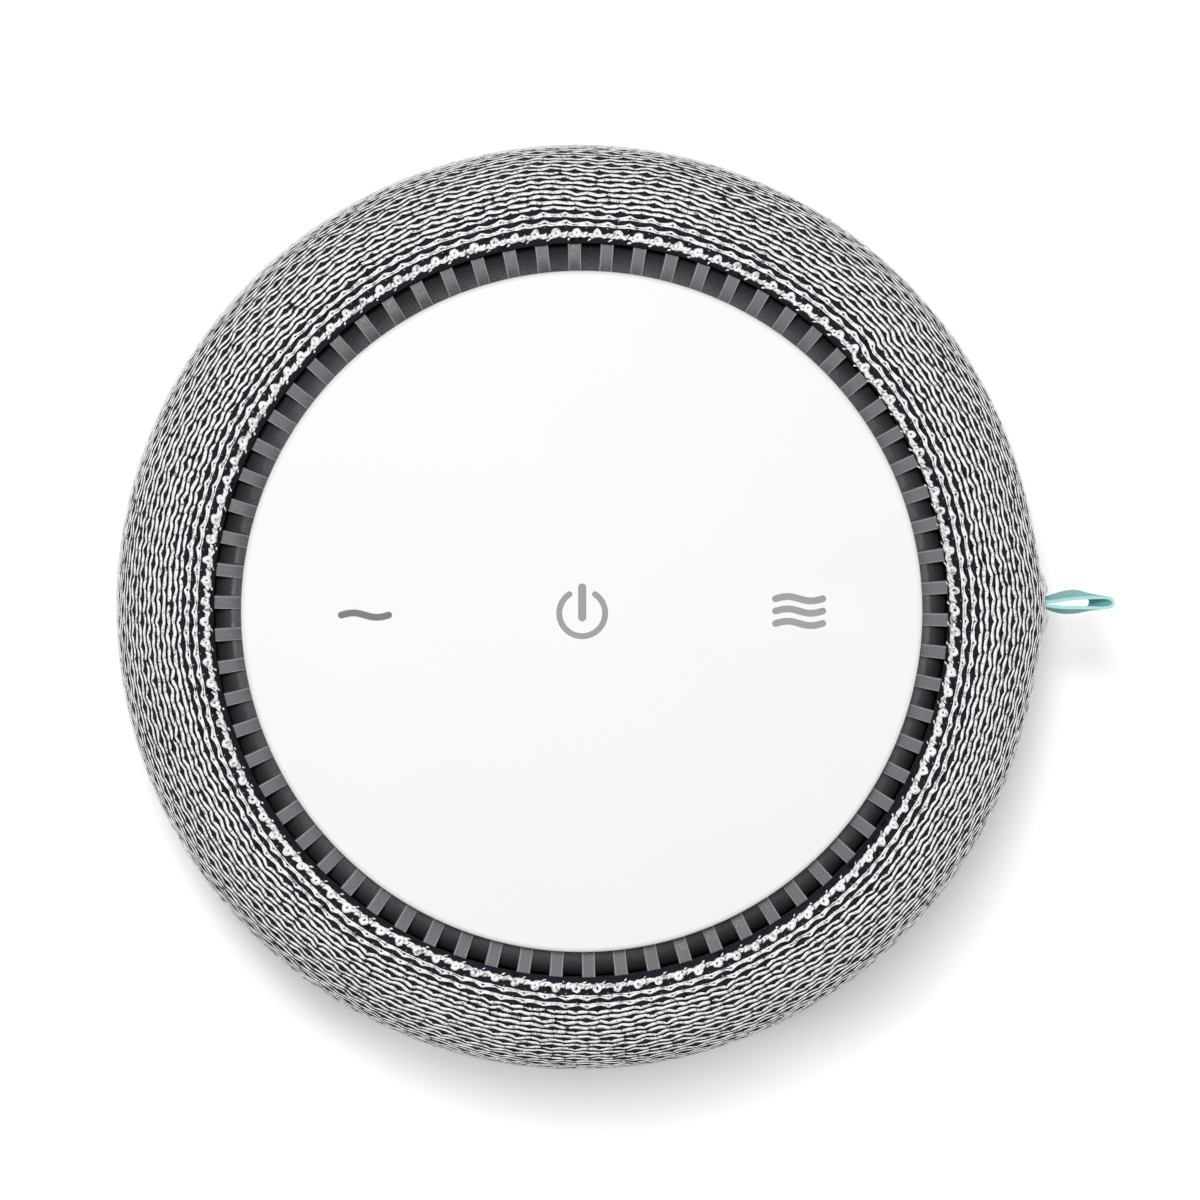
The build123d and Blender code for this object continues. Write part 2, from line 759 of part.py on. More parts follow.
def outer_shell():
    outer = envelope(knit_thickness)
    shell = outer - envelope(knit_thickness + shell_wall)
    shell -= disc(shell_lip_bore, waist_height, panel_top)
    shell -= disc(shell_foot_bore, 0, waist_height)
    shell -= disc(body_radius, 0, shell_bottom)
    for post in shell_bosses(outer):
        shell += post
    for place in around(shell_screw_count, shell_screw_circle, 30):
        shell -= place * disc(shell_screw_shank + hole_gap, 0, shutter_low + 1)
    outline = Rot(0, 0, 90) * SlotOverall(slot_high - slot_low, slot_width)
    middle = (slot_low + slot_high) / 2
    cutter = extrude(Plane.YZ * Pos(0, middle) * outline, body_radius)
    for place in around(slot_count, 0):
        shell -= place * cutter
    return shell


def shutter_ring():
    outer = shutter_inner + shutter_wall
    body = ring(shutter_inner, outer, shutter_low, shutter_top)
    body += ring(shutter_inner, shutter_flange_radius, shutter_low, shutter_low + shutter_flange_height)
    for place in around(shell_screw_count, shell_screw_circle, 30):
        body += place * disc(shell_screw_shank + post_wall, shutter_low, shutter_boss_top)
        body -= place * disc(shell_screw_shank + hole_gap, 0, shutter_boss_top - boss_cap)
    for cutter in window_cutters(shutter_inner, outer, turn_limit):
        body -= cutter
    return body


def shell_screws():
    length = shutter_boss_top - boss_cap - shell_screw_spare - shell_screw_seat
    head = Cylinder(shell_screw_head, shell_head_height, align=BOTTOM)
    shank = Pos(0, 0, -length) * Cylinder(shell_screw_shank, length, align=BOTTOM)
    body = Pos(0, 0, shell_screw_seat) * Rot(180, 0, 0) * (head + shank)
    places = around(shell_screw_count, shell_screw_circle, 30)
    return group(place * body for place in places)


def loop_outline():
    """Flat ribbon folded to an eye, seen along its width."""
    start = body_radius - knit_thickness + assembly_gap
    end = body_radius + loop_reach
    half = loop_breadth / 2
    upper = Spline(
        (start, loop_ribbon), (start + loop_root_run, half),
        (end - loop_nose_run, half * 0.7), (end, 0),
        tangents=[(1, 0.3), (0, -1)],
    )
    lower = Spline(
        (end, 0), (end - loop_nose_run, -half * 0.75),
        (start + loop_root_run, -half * 0.8), (start, -loop_ribbon),
        tangents=[(0, -1), (-1, 0.2)],
    )
    return make_face(upper + lower + Line(lower @ 1, upper @ 0))


def pull_loop():
    outline = loop_outline()
    eye_middle = body_radius + loop_reach - loop_ribbon - loop_eye_length / 2
    eye = Pos(eye_middle, 0) * Ellipse(loop_eye_length / 2, loop_eye_height / 2)
    body = extrude(Pos(0, 0, loop_level - loop_width / 2) * (outline - eye), loop_width)
    return body


def knit_sleeve():
    inner = envelope(knit_thickness) - disc(body_radius, 0, shell_bottom)
    sleeve = envelope(0) - inner
    sleeve -= disc(hem_bore, 0, waist_height)
    sleeve -= disc(rim_outer, waist_height, panel_top)
    sleeve -= disc(body_radius, 0, ring_top)
    return sleeve - pull_loop()


def rim_band():
    low = knit_top - knit_thickness - shell_wall
    seat = knit_top - knit_thickness
    top = knit_top - rim_drop
    band = turned(
        (rim_inner, low), (shell_lip_bore, low), (shell_lip_bore, seat),
        (rim_outer, seat), (rim_outer, top), (rim_inner, top),
    )
    return fillet(band.edges().group_by(Axis.Z)[-1].sort_by(SortBy.RADIUS)[0], rim_round)


# ---- top ----------------------------------------------------------------
def top_chassis():
    body = disc(vent_outer, drum_top, chassis_top)
    for place in around(base_screw_count, base_screw_circle, 0):
        body -= place * disc(base_screw_shank + hole_gap, 0, panel_top)
    for place in around(base_screw_count, panel_screw_circle, 45):
        body -= place * disc(base_screw_shank + hole_gap, 0, panel_top)
    for place in around(intake_count, intake_circle, 180 / intake_count):
        body -= place * disc(intake_radius, 0, panel_top)
    return body - lead_notch(0, panel_top)


def chassis_screws():
    body = Pos(0, 0, chassis_top) * screw(base_screw_head, base_screw_shank, lid_screw_length)
    return group(place * body for place in around(base_screw_count, base_screw_circle, 0))


def rib():
    """One rib of the vent ring: a bar with a rounded nose."""
    low = vent_floor_low - rib_root
    inner = vent_bore + vent_inner_wall - root
    outer_top = rib_top - rib_drop
    outline = make_face(Polyline(
        (inner, vent_floor_high - rib_root), (vent_outer, low), (vent_outer, outer_top),
        (inner, rib_top), close=True,
    ))
    nose = outline.vertices().group_by(Axis.X)[-1].sort_by(Axis.Y)[-1]
    outline = fillet(nose, rib_nose_radius)
    return extrude(Plane.XZ * outline, rib_width / 2, both=True)


def vent_ring():
    """Ribbed ring between the panel and the knit."""
    wall = vent_bore + vent_inner_wall
    skirt = vent_outer - vent_skirt_wall
    body = turned(
        (vent_bore, chassis_top), (wall, chassis_top), (wall, vent_floor_high - vent_roof),
        (skirt, vent_floor_low - root), (skirt, chassis_top), (vent_outer, chassis_top),
        (vent_outer, vent_floor_low), (wall, vent_floor_high), (wall, panel_bottom),
        (vent_bore, panel_bottom),
    )
    one = rib()
    ribs = [Rot(0, 0, index * 360 / rib_count) * one for index in range(rib_count)]
    return body.fuse(*ribs)


def power_icon():
    sweep = 360 - 2 * power_gap_angle
    arc = CenterArc((0, 0), power_radius, 90 + power_gap_angle, sweep)
    mark = SlotArc(arc, power_stroke)
    bar = Pos(0, power_bar_offset) * Rot(0, 0, 90) * SlotOverall(power_bar_length, power_bar_width)
    return Pos(0, power_icon_row) * (mark + bar)


def wave():
    """One wave: a crest and then a trough."""
    reach = (wave_length - wave_stroke) / 2
    crest = ThreePointArc((-reach, 0), (-reach / 2, wave_rise), (0, 0))
    trough = ThreePointArc((0, 0), (reach / 2, -wave_rise), (reach, 0))
    return SlotArc(Wire([crest, trough]), wave_stroke)


def low_icon():
    return Pos(-icon_pitch, low_icon_row) * wave()


def high_icon():
    waves = Sketch()
    for step in (-1, 0, 1):
        waves += Pos(0, step * wave_pitch) * wave()
    return Pos(icon_pitch, high_icon_row) * waves


def icon_inlay_solid(outline):
    """Coloured insert, a little below the panel's face."""
    top = panel_top - icon_recess
    return extrude(Pos(0, 0, top - icon_inlay) * outline, icon_inlay)


def top_panel():
    panel = disc(panel_radius, panel_bottom, panel_top)
    panel = fillet(panel.edges().group_by(Axis.Z)[-1], panel_edge_round)
    panel += ring(
        skirt_outer - panel_skirt_wall, skirt_outer, panel_bottom - panel_skirt_height, panel_bottom
    )
    boss = base_screw_shank + boss_wall
    for place in around(base_screw_count, panel_screw_circle, 45):
        panel += place * disc(boss, chassis_top, panel_bottom)
        panel -= place * disc(base_screw_shank + hole_gap, chassis_top, panel_bottom)
    for outline in (power_icon(), low_icon(), high_icon()):
        floor = panel_top - icon_recess - icon_inlay
        panel -= extrude(Pos(0, 0, floor) * outline, panel_thickness)
    return panel


def panel_screws():
    body = Pos(0, 0, drum_top) * screw(base_screw_head, base_screw_shank, lid_screw_length, False)
    return group(place * body for place in around(base_screw_count, panel_screw_circle, 45))


pieces = {
    "foot_ring": foot_ring,
    "base_plate": base_plate,
    "base_screws": base_screws,
    "acoustic_drum": acoustic_drum,
    "acoustic_foam": acoustic_foam,
    "main_board": main_board,
    "board_screws": board_screws,
    "dc_jack": dc_jack,
    "jack_pin": jack_pin,
    "touch_board": touch_board,
    "touch_lead": touch_lead,
    "motor_lead": motor_lead,
    "isolation_grommets": isolation_grommets,
    "motor_bracket": motor_bracket,
    "bracket_screws": bracket_screws,
    "bracket_nuts": bracket_nuts,
    "motor_bush": motor_bush,
    "thrust_pad": thrust_pad,
    "motor_core": motor_core,
    "motor_windings": motor_windings,
    "motor_shaft": motor_shaft,
    "rotor_cup": rotor_cup,
    "rotor_magnet": rotor_magnet,
    "fan_impeller": fan_impeller,
    "shell_base_ring": shell_base_ring,
    "outer_shell": outer_shell,
    "shutter_ring": shutter_ring,
    "shell_screws": shell_screws,
    "knit_sleeve": knit_sleeve,
    "rim_band": rim_band,
    "pull_loop": pull_loop,
    "top_chassis": top_chassis,
    "chassis_screws": chassis_screws,
    "vent_ring": vent_ring,
    "top_panel": top_panel,
    "icon_power": lambda: icon_inlay_solid(power_icon()),
    "icon_low_wave": lambda: icon_inlay_solid(low_icon()),
    "icon_high_waves": lambda: icon_inlay_solid(high_icon()),
    "panel_screws": panel_screws,
}

os.makedirs("parts", exist_ok=True)
for name, make in pieces.items():
    export_step(make(), f"parts/{name}.step")
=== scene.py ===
from math import atan2, cos, pi, radians, sin, sqrt
import bmesh
import bpy
import numpy as np
from mathutils import Matrix, Vector


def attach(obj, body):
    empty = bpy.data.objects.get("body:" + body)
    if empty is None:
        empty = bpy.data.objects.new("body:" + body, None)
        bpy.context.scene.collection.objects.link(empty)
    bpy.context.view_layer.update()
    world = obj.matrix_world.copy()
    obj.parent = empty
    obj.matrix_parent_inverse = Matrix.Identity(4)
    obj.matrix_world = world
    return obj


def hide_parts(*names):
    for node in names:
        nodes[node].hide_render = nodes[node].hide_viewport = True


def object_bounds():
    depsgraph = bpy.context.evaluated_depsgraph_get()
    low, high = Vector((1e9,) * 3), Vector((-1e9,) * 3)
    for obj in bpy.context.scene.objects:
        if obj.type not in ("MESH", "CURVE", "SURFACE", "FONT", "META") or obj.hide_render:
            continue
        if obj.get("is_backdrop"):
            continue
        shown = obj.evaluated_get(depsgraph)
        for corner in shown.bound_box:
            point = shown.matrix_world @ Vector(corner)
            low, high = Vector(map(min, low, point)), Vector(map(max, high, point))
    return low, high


# A white noise machine: a small fan in a slotted drum, under a knit-covered
# shell that turns about it. Lengths in the sections are millimetres and are
# scaled to metres where a mesh is made.
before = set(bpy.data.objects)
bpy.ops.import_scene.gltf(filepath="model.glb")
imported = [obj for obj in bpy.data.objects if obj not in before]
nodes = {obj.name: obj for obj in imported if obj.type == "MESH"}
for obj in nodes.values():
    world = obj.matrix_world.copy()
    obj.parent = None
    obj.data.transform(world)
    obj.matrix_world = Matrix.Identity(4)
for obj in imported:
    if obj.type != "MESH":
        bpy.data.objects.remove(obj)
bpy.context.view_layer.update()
mm = 0.001


# ---- camera ---------------------------------------------------------------
# A long lens well over a metre above the panel, a little left of and behind
# its middle.
camera = bpy.data.objects.new("camera", bpy.data.cameras.new("camera"))
bpy.context.collection.objects.link(camera)
bpy.context.scene.camera = camera
camera.location = (-0.0310, 0.0415, 1.331)
looking_at = Vector((0.00269, 0.00181, 0.081))
ahead = (looking_at - camera.location).normalized()
across = ahead.cross(Vector((0, 1, 0))).normalized()
camera.rotation_euler = Matrix((across, across.cross(ahead), -ahead)).transposed().to_euler()
camera.data.sensor_width = 36
camera.data.lens = 248.1


# ---- studio ---------------------------------------------------------------
# A white table, a soft lamp overhead, two small ones low at the sides and a
# pale room. The table's whiteness is its own, so it still takes the shadow.
def shader(name):
    """A new material and its nodes, with a Principled shader."""
    material = bpy.data.materials.new(name)
    material.use_nodes = True
    tree = material.node_tree
    return material, tree, tree.nodes["Principled BSDF"]


table, table_tree, table_surface = shader("white_table")
table_surface.inputs["Base Color"].default_value = (0.82, 0.82, 0.82, 1)
table_surface.inputs["Roughness"].default_value = 0.9
table_surface.inputs["Specular IOR Level"].default_value = 0.1
seen = table_tree.nodes.new("ShaderNodeLightPath")
lift = table_tree.nodes.new("ShaderNodeEmission")
both = table_tree.nodes.new("ShaderNodeAddShader")
strength = table_tree.nodes.new("ShaderNodeMath")
strength.operation = "MULTIPLY"
strength.inputs[1].default_value = 0.275
table_tree.links.new(seen.outputs["Is Camera Ray"], strength.inputs[0])
table_tree.links.new(strength.outputs[0], lift.inputs["Strength"])
table_tree.links.new(table_surface.outputs[0], both.inputs[0])
table_tree.links.new(lift.outputs[0], both.inputs[1])
table_tree.links.new(both.outputs[0], table_tree.nodes["Material Output"].inputs["Surface"])

floor_mesh = bpy.data.meshes.new("table_top")
half = 4
corners = [(-half, -half, 0), (half, -half, 0), (half, half, 0), (-half, half, 0)]
floor_mesh.from_pydata(corners, [], [(0, 1, 2, 3)])
floor = bpy.data.objects.new("table_top", floor_mesh)
floor_mesh.materials.append(table)
bpy.context.collection.objects.link(floor)
floor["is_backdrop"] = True

world = bpy.data.worlds.new("pale_room")
bpy.context.scene.world = world
world.use_nodes = True
world.node_tree.nodes["Background"].inputs["Color"].default_value = (1, 1, 1, 1)
world.node_tree.nodes["Background"].inputs["Strength"].default_value = 0.22

for lamp_name, place, width, length, power in (
    ("overhead_lamp", (-0.135, 0.351, 2.325), 0.2, 0.46, 37.5),
    ("left_lamp", (-1.4, 0, 0.76), 0.25, 0.25, 4.2),
    ("right_lamp", (1.4, 0, 0.76), 0.25, 0.25, 4.2),
):
    lamp = bpy.data.lights.new(lamp_name, "AREA")
    lamp.shape = "RECTANGLE"
    lamp.size = width
    lamp.size_y = length
    lamp.energy = power
    stand = bpy.data.objects.new(lamp_name, lamp)
    stand.location = place
    to_body = Vector((0, 0, 0.05)) - Vector(place)
    stand.rotation_euler = to_body.to_track_quat("-Z", "Y").to_euler()
    bpy.context.collection.objects.link(stand)
bpy.context.scene.view_settings.view_transform = "Standard"


# ---- base plate, feet and moulded plastics ----------------------------------
# The base, shell ring, drum, shutter and chassis are moulded plastic from
# spark-eroded tools: a fine even grain, slightly uneven in gloss.
def effect(name, inputs, outputs):
    """An empty shader node group with named inputs and outputs."""
    group = bpy.data.node_groups.new(name, "ShaderNodeTree")
    for label, kind, value in inputs:
        socket = group.interface.new_socket(label, in_out="INPUT", socket_type="NodeSocket" + kind)
        socket.default_value = value
    for label, kind in outputs:
        group.interface.new_socket(label, in_out="OUTPUT", socket_type="NodeSocket" + kind)
    return group, group.nodes.new("NodeGroupInput"), group.nodes.new("NodeGroupOutput")


def joined(tree, kind, *links, **settings):
    """A node with its settings, and its inputs linked or set in order."""
    node = tree.nodes.new(kind)
    for label, value in settings.items():
        setattr(node, label, value)
    for socket, value in links:
        if isinstance(value, bpy.types.NodeSocket):
            tree.links.new(value, node.inputs[socket])
        else:
            node.inputs[socket].default_value = value
    return node


def maths(tree, operation, *values):
    """Result of one math node."""
    node = joined(tree, "ShaderNodeMath", *enumerate(values), operation=operation)
    return node.outputs[0]


def noise_of(tree, where, scale, detail):
    """Value of a noise at a place."""
    node = joined(tree, "ShaderNodeTexNoise", ("Vector", where), ("Scale", scale),
                  ("Detail", detail))
    return node.outputs["Fac"]


def uneven_face(group, group_in, group_out, swing, strength, height):
    """Let colour and gloss follow a swing about zero, and end the group."""
    value = maths(group, "ADD", maths(group, "MULTIPLY", swing, strength), 1.0)
    tinted = joined(group, "ShaderNodeHueSaturation", ("Color", group_in.outputs["Colour"]),
                    ("Value", value))
    gloss = maths(group, "MULTIPLY", group_in.outputs["Roughness"], value)
    group.links.new(tinted.outputs[0], group_out.inputs["Colour"])
    group.links.new(gloss, group_out.inputs["Roughness"])
    group.links.new(height, group_out.inputs["Height"])


def faced(name, group, depth, **inputs):
    """A material whose face is an effect, and its Principled shader."""
    material, tree, surface = shader(name)
    face = joined(tree, "ShaderNodeGroup", node_tree=group)
    for label, value in inputs.items():
        face.inputs[label.replace("_", " ")].default_value = value
    bump = joined(tree, "ShaderNodeBump", ("Height", face.outputs["Height"]), ("Distance", depth))
    tree.links.new(bump.outputs[0], surface.inputs["Normal"])
    for output, socket in (("Colour", "Base Color"), ("Roughness", "Roughness")):
        if output in face.outputs:
            tree.links.new(face.outputs[output], surface.inputs[socket])
    return material, surface


grain_group, grain_in, grain_out = effect(
    "spark_eroded_grain",
    [("Colour", "Color", (0.5, 0.5, 0.5, 1)), ("Roughness", "Float", 0.5),
     ("Grain", "Float", 2200.0), ("Unevenness", "Float", 0.06)],
    [("Colour", "Color"), ("Roughness", "Float"), ("Height", "Float")],
)
where = grain_group.nodes.new("ShaderNodeTexCoord").outputs["Object"]
fine = noise_of(grain_group, where, grain_in.outputs["Grain"], 3.0)
broad = noise_of(grain_group, where, 45.0, 2.0)
swing = maths(grain_group, "SUBTRACT", broad, 0.5)
speck = maths(grain_group, "SUBTRACT", fine, 0.5)
uneven_face(grain_group, grain_in, grain_out, maths(grain_group, "ADD", swing, speck),
            grain_in.outputs["Unevenness"], fine)


def moulded(name, colour, roughness, grain=2200.0, depth=0.00002, unevenness=0.2):
    """Moulded plastic or rubber with the tool's grain."""
    return faced(name, grain_group, depth, Colour=(*colour, 1), Roughness=roughness,
                 Grain=grain, Unevenness=unevenness)[0]


def dress(material, *names):
    """Give CAD nodes their material."""
    for name in names:
        nodes[name].data.materials.clear()
        nodes[name].data.materials.append(material)


base_plastic = moulded("base_plastic", (0.018, 0.019, 0.022), 0.55)
foot_rubber = moulded("foot_rubber", (0.012, 0.012, 0.013), 0.8, grain=900.0, depth=0.00005)
inner_plastic = moulded("inner_plastic", (0.035, 0.036, 0.039), 0.6)
dress(base_plastic, "base_plate", "shell_base_ring")
dress(foot_rubber, "foot_ring", "isolation_grommets")
dress(inner_plastic, "acoustic_drum", "outer_shell", "shutter_ring", "top_chassis", "thrust_pad")


# ---- screws ---------------------------------------------------------------
# Zinc-plated pan-head screws with a cross recess hold the base to the drum
# and the ring to the shell; the others inside are of the same make.
brushed_group, brushed_in, brushed_out = effect(
    "drawn_metal",
    [("Colour", "Color", (0.5, 0.5, 0.5, 1)), ("Roughness", "Float", 0.35),
     ("Stretch", "Vector", (400.0, 400.0, 4000.0)), ("Contrast", "Float", 0.3)],
    [("Colour", "Color"), ("Roughness", "Float"), ("Height", "Float")],
)
where = brushed_group.nodes.new("ShaderNodeTexCoord").outputs["Object"]
drawn = joined(brushed_group, "ShaderNodeMapping", ("Vector", where),
               ("Scale", brushed_in.outputs["Stretch"]))
lines = noise_of(brushed_group, drawn.outputs[0], 1.0, 4.0)
uneven_face(brushed_group, brushed_in, brushed_out, maths(brushed_group, "SUBTRACT", lines, 0.5),
            brushed_in.outputs["Contrast"], lines)


def drawn_metal(name, colour, roughness, stretch=(400.0, 400.0, 4000.0), contrast=0.3,
                metallic=1.0):
    """Rolled, drawn or plated metal with its fine lines."""
    material, surface = faced(name, brushed_group, 0.00001, Colour=(*colour, 1),
                              Roughness=roughness, Stretch=stretch, Contrast=contrast)
    surface.inputs["Metallic"].default_value = metallic
    return material


screw_steel = drawn_metal("screw_steel", (0.5, 0.5, 0.52), 0.35)
dress(screw_steel, "board_screws", "bracket_screws", "bracket_nuts", "chassis_screws",
      "panel_screws", "motor_shaft")


def placed(name, vertices, faces, uvs=None):
    """A mesh object from points in millimetres; uvs go corner by corner."""
    mesh = bpy.data.meshes.new(name)
    mesh.from_pydata([tuple(point) for point in np.asarray(vertices, float) * mm], [], faces)
    if uvs is not None:
        layer = mesh.uv_layers.new(name="UVMap")
        layer.data.foreach_set("uv", np.asarray(uvs, np.float32).ravel())
    piece = bpy.data.objects.new(name, mesh)
    bpy.context.collection.objects.link(piece)
    return piece


def turned(name, outline, segments):
    """Closed outline of (radius, height) turned about the centre line."""
    outline = np.asarray(outline, float)
    angles = np.arange(segments) * 2 * pi / segments
    rows = len(outline)
    vertices = [
        (r * cos(a), r * sin(a), z) for a in angles for r, z in outline
    ]
    faces = []
    for i in range(segments):
        here = i * rows
        after = (i + 1) % segments * rows
        for j in range(rows):
            k = (j + 1) % rows
            faces.append((here + j, after + j, after + k, here + k))
    return outward(placed(name, vertices, faces))


def outward(piece, merge=1e-7):
    """Merge doubled points, drop empty faces and point every face outwards."""
    work = bmesh.new()
    work.from_mesh(piece.data)
    bmesh.ops.remove_doubles(work, verts=work.verts, dist=merge)
    bmesh.ops.dissolve_degenerate(work, edges=work.edges, dist=merge)
    bmesh.ops.recalc_face_normals(work, faces=work.faces)
    work.to_mesh(piece.data)
    work.free()
    return piece


def smooth(piece, angle=35):
    """Shade smooth, with creases where faces meet more sharply than angle."""
    piece.data.shade_smooth()
    piece.data.set_sharp_from_angle(angle=radians(angle))
    return piece


def settled(piece):
    """Make a piece's modifiers part of its mesh."""
    graph = bpy.context.evaluated_depsgraph_get()
    mesh = bpy.data.meshes.new_from_object(piece.evaluated_get(graph), depsgraph=graph)
    piece.modifiers.clear()
    piece.data = mesh
    return piece


def cut_out(piece, cutters):
    """Cut closed meshes out of a piece, and remove them."""
    for cutter in cutters:
        cut = piece.modifiers.new("recess", "BOOLEAN")
        cut.object = cutter
        cut.solver = "EXACT"
    settled(piece)
    for cutter in cutters:
        bpy.data.objects.remove(cutter)


def finished(piece, material, slot, body, *stands_for):
    """Material, body and the CAD nodes that a piece stands for; the slot is not used."""
    piece.data.materials.clear()
    piece.data.materials.append(material)
    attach(piece, body)
    if stands_for:
        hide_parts(*stands_for)
    return piece


def repeat_tree(name):
    """Geometry nodes that repeat one shape round the centre line."""
    tree = bpy.data.node_groups.new(name, "GeometryNodeTree")
    for label, kind, default in (
        ("Geometry", "Geometry", None), ("Count", "Int", 6), ("Start Angle", "Float", 0.0),
        ("Unevenness", "Float", 0.0), ("Grain Size", "Float", 300.0), ("Seed", "Float", 1.0),
        ("Material", "Material", None),
    ):
        socket = tree.interface.new_socket(label, in_out="INPUT", socket_type="NodeSocket" + kind)
        if default is not None:
            socket.default_value = default
    tree.interface.new_socket("Geometry", in_out="OUTPUT", socket_type="NodeSocketGeometry")
    given = tree.nodes.new("NodeGroupInput").outputs
    points = joined(tree, "GeometryNodePoints", ("Count", given["Count"]))
    index = tree.nodes.new("GeometryNodeInputIndex")
    share = maths(tree, "DIVIDE", index.outputs[0], given["Count"])
    angle = maths(tree, "MULTIPLY_ADD", share, 2 * pi, given["Start Angle"])
    axis = joined(tree, "ShaderNodeCombineXYZ", ("Z", angle))
    turn = joined(tree, "FunctionNodeEulerToRotation", (0, axis.outputs[0]))
    copies = joined(tree, "GeometryNodeInstanceOnPoints", ("Points", points.outputs[0]),
                    ("Instance", given["Geometry"]), ("Rotation", turn.outputs[0]))
    real = joined(tree, "GeometryNodeRealizeInstances", (0, copies.outputs[0]))
    sewn = joined(tree, "GeometryNodeMergeByDistance", ("Geometry", real.outputs[0]),
                  ("Distance", 2e-6))
    position = tree.nodes.new("GeometryNodeInputPosition")
    noise = joined(tree, "ShaderNodeTexNoise", ("Vector", position.outputs[0]),
                   ("W", given["Seed"]), ("Scale", given["Grain Size"]), ("Detail", 1.0),
                   noise_dimensions="4D")
    centred = joined(tree, "ShaderNodeVectorMath", (0, noise.outputs["Color"]),
                     (1, (0.5, 0.5, 0.5)), operation="SUBTRACT")
    offset = joined(tree, "ShaderNodeVectorMath", (0, centred.outputs[0]),
                    ("Scale", given["Unevenness"]), operation="SCALE")
    moved = joined(tree, "GeometryNodeSetPosition", ("Geometry", sewn.outputs[0]),
                   ("Offset", offset.outputs[0]))
    painted = joined(tree, "GeometryNodeSetMaterial", ("Geometry", moved.outputs[0]),
                     ("Material", given["Material"]))
    end = tree.nodes.new("NodeGroupOutput")
    tree.links.new(painted.outputs[0], end.inputs[0])
    return tree


around_the_axis = repeat_tree("repeated_round_the_axis")


def repeated(piece, **inputs):
    """Run the repeat on a piece and keep the result as plain mesh."""
    modifier = piece.modifiers.new("repeat", "NODES")
    modifier.node_group = around_the_axis
    wanted = {label.replace("_", " "): value for label, value in inputs.items()}
    for item in around_the_axis.interface.items_tree:
        if item.in_out == "INPUT" and item.name in wanted:
            modifier[item.identifier] = wanted[item.name]
    return settled(piece)


def cross_head_screw(name, circle, seat, head_radius, head_height, shank_radius, length):
    """Screw hanging head down at its circle, with a cross recess."""
    edge = head_height * 0.4
    bow = [(head_radius - edge * (1 - sin(t)), head_height - edge * (1 - cos(t)))
           for t in np.linspace(pi / 2, 0, 5)]
    outline = [(0.001, head_height), *reversed(bow), (head_radius, 0), (shank_radius, 0),
               (shank_radius, -length), (0.001, -length)]
    body = turned(name, outline, 28)
    arm_reach = head_radius * 0.62
    arm_half = head_radius * 0.13
    low = head_height * 0.35
    high = head_height + 0.5
    taper_x, taper_y = 0.55, 0.8
    sides = [(0, 3, 2, 1), (4, 5, 6, 7), (0, 1, 5, 4), (1, 2, 6, 5), (2, 3, 7, 6), (3, 0, 4, 7)]
    cross = []
    for x, y in ((arm_reach, arm_half), (arm_half, arm_reach)):
        corners = [(-x, -y), (x, -y), (x, y), (-x, y)]
        points = [(px * taper_x, py * taper_y, low) for px, py in corners]
        points += [(px, py, high) for px, py in corners]
        cross.append(placed("recess", points, sides))
    cut_out(body, cross)
    place = np.empty(len(body.data.vertices) * 3)
    body.data.vertices.foreach_get("co", place)
    place = place.reshape(-1, 3) * (1, -1, -1) + (circle * mm, 0, seat * mm)
    body.data.vertices.foreach_set("co", place.ravel())
    return smooth(body)


base_screw = cross_head_screw("base_screw_set", circle=43.03, seat=2.9, head_radius=2.5,
                              head_height=1.6, shank_radius=1.3, length=12.0)
shell_screw = cross_head_screw("shell_screw_set", circle=56.62, seat=5.9, head_radius=1.9,
                               head_height=1.0, shank_radius=1.0, length=10.5)
for screw, screws, body, count, start in (
    (base_screw, "base_screws", "base", 4, 45),
    (shell_screw, "shell_screws", "shell", 6, 30),
):
    repeated(screw, Count=count, Start_Angle=radians(start), Material=screw_steel)
    finished(screw, screw_steel, "screw_steel", body, screws)


# ---- boards, jack and leads -------------------------------------------------
# Two printed boards with green solder mask, the moulded power jack with its
# nickel contact, and the leads that join them.
def board_face(name):
    """Solder mask over copper tracks, dull where dust lies."""
    material, tree, surface = shader(name)
    place = tree.nodes.new("ShaderNodeTexCoord").outputs["Object"]
    tracks = joined(tree, "ShaderNodeTexBrick", ("Vector", place), ("Scale", 160.0),
                    ("Mortar Size", 0.03), ("Color1", (0.01, 0.1, 0.045, 1)),
                    ("Color2", (0.012, 0.12, 0.055, 1)), ("Mortar", (0.02, 0.19, 0.09, 1)))
    gloss = joined(tree, "ShaderNodeMapRange", ("Value", noise_of(tree, place, 120.0, 3.0)),
                   ("To Min", 0.25), ("To Max", 0.5))
    bump = joined(tree, "ShaderNodeBump", ("Height", tracks.outputs["Fac"]), ("Distance", 0.00004))
    tree.links.new(tracks.outputs["Color"], surface.inputs["Base Color"])
    tree.links.new(gloss.outputs[0], surface.inputs["Roughness"])
    tree.links.new(bump.outputs[0], surface.inputs["Normal"])
    return material


dress(board_face("board"), "main_board", "touch_board")
dress(moulded("jack_plastic", (0.01, 0.01, 0.011), 0.3), "dc_jack")
dress(drawn_metal("contact_metal", (0.72, 0.7, 0.66), 0.2), "jack_pin")
dress(moulded("lead_sheath", (0.03, 0.03, 0.032), 0.5, grain=600.0), "touch_lead", "motor_lead")


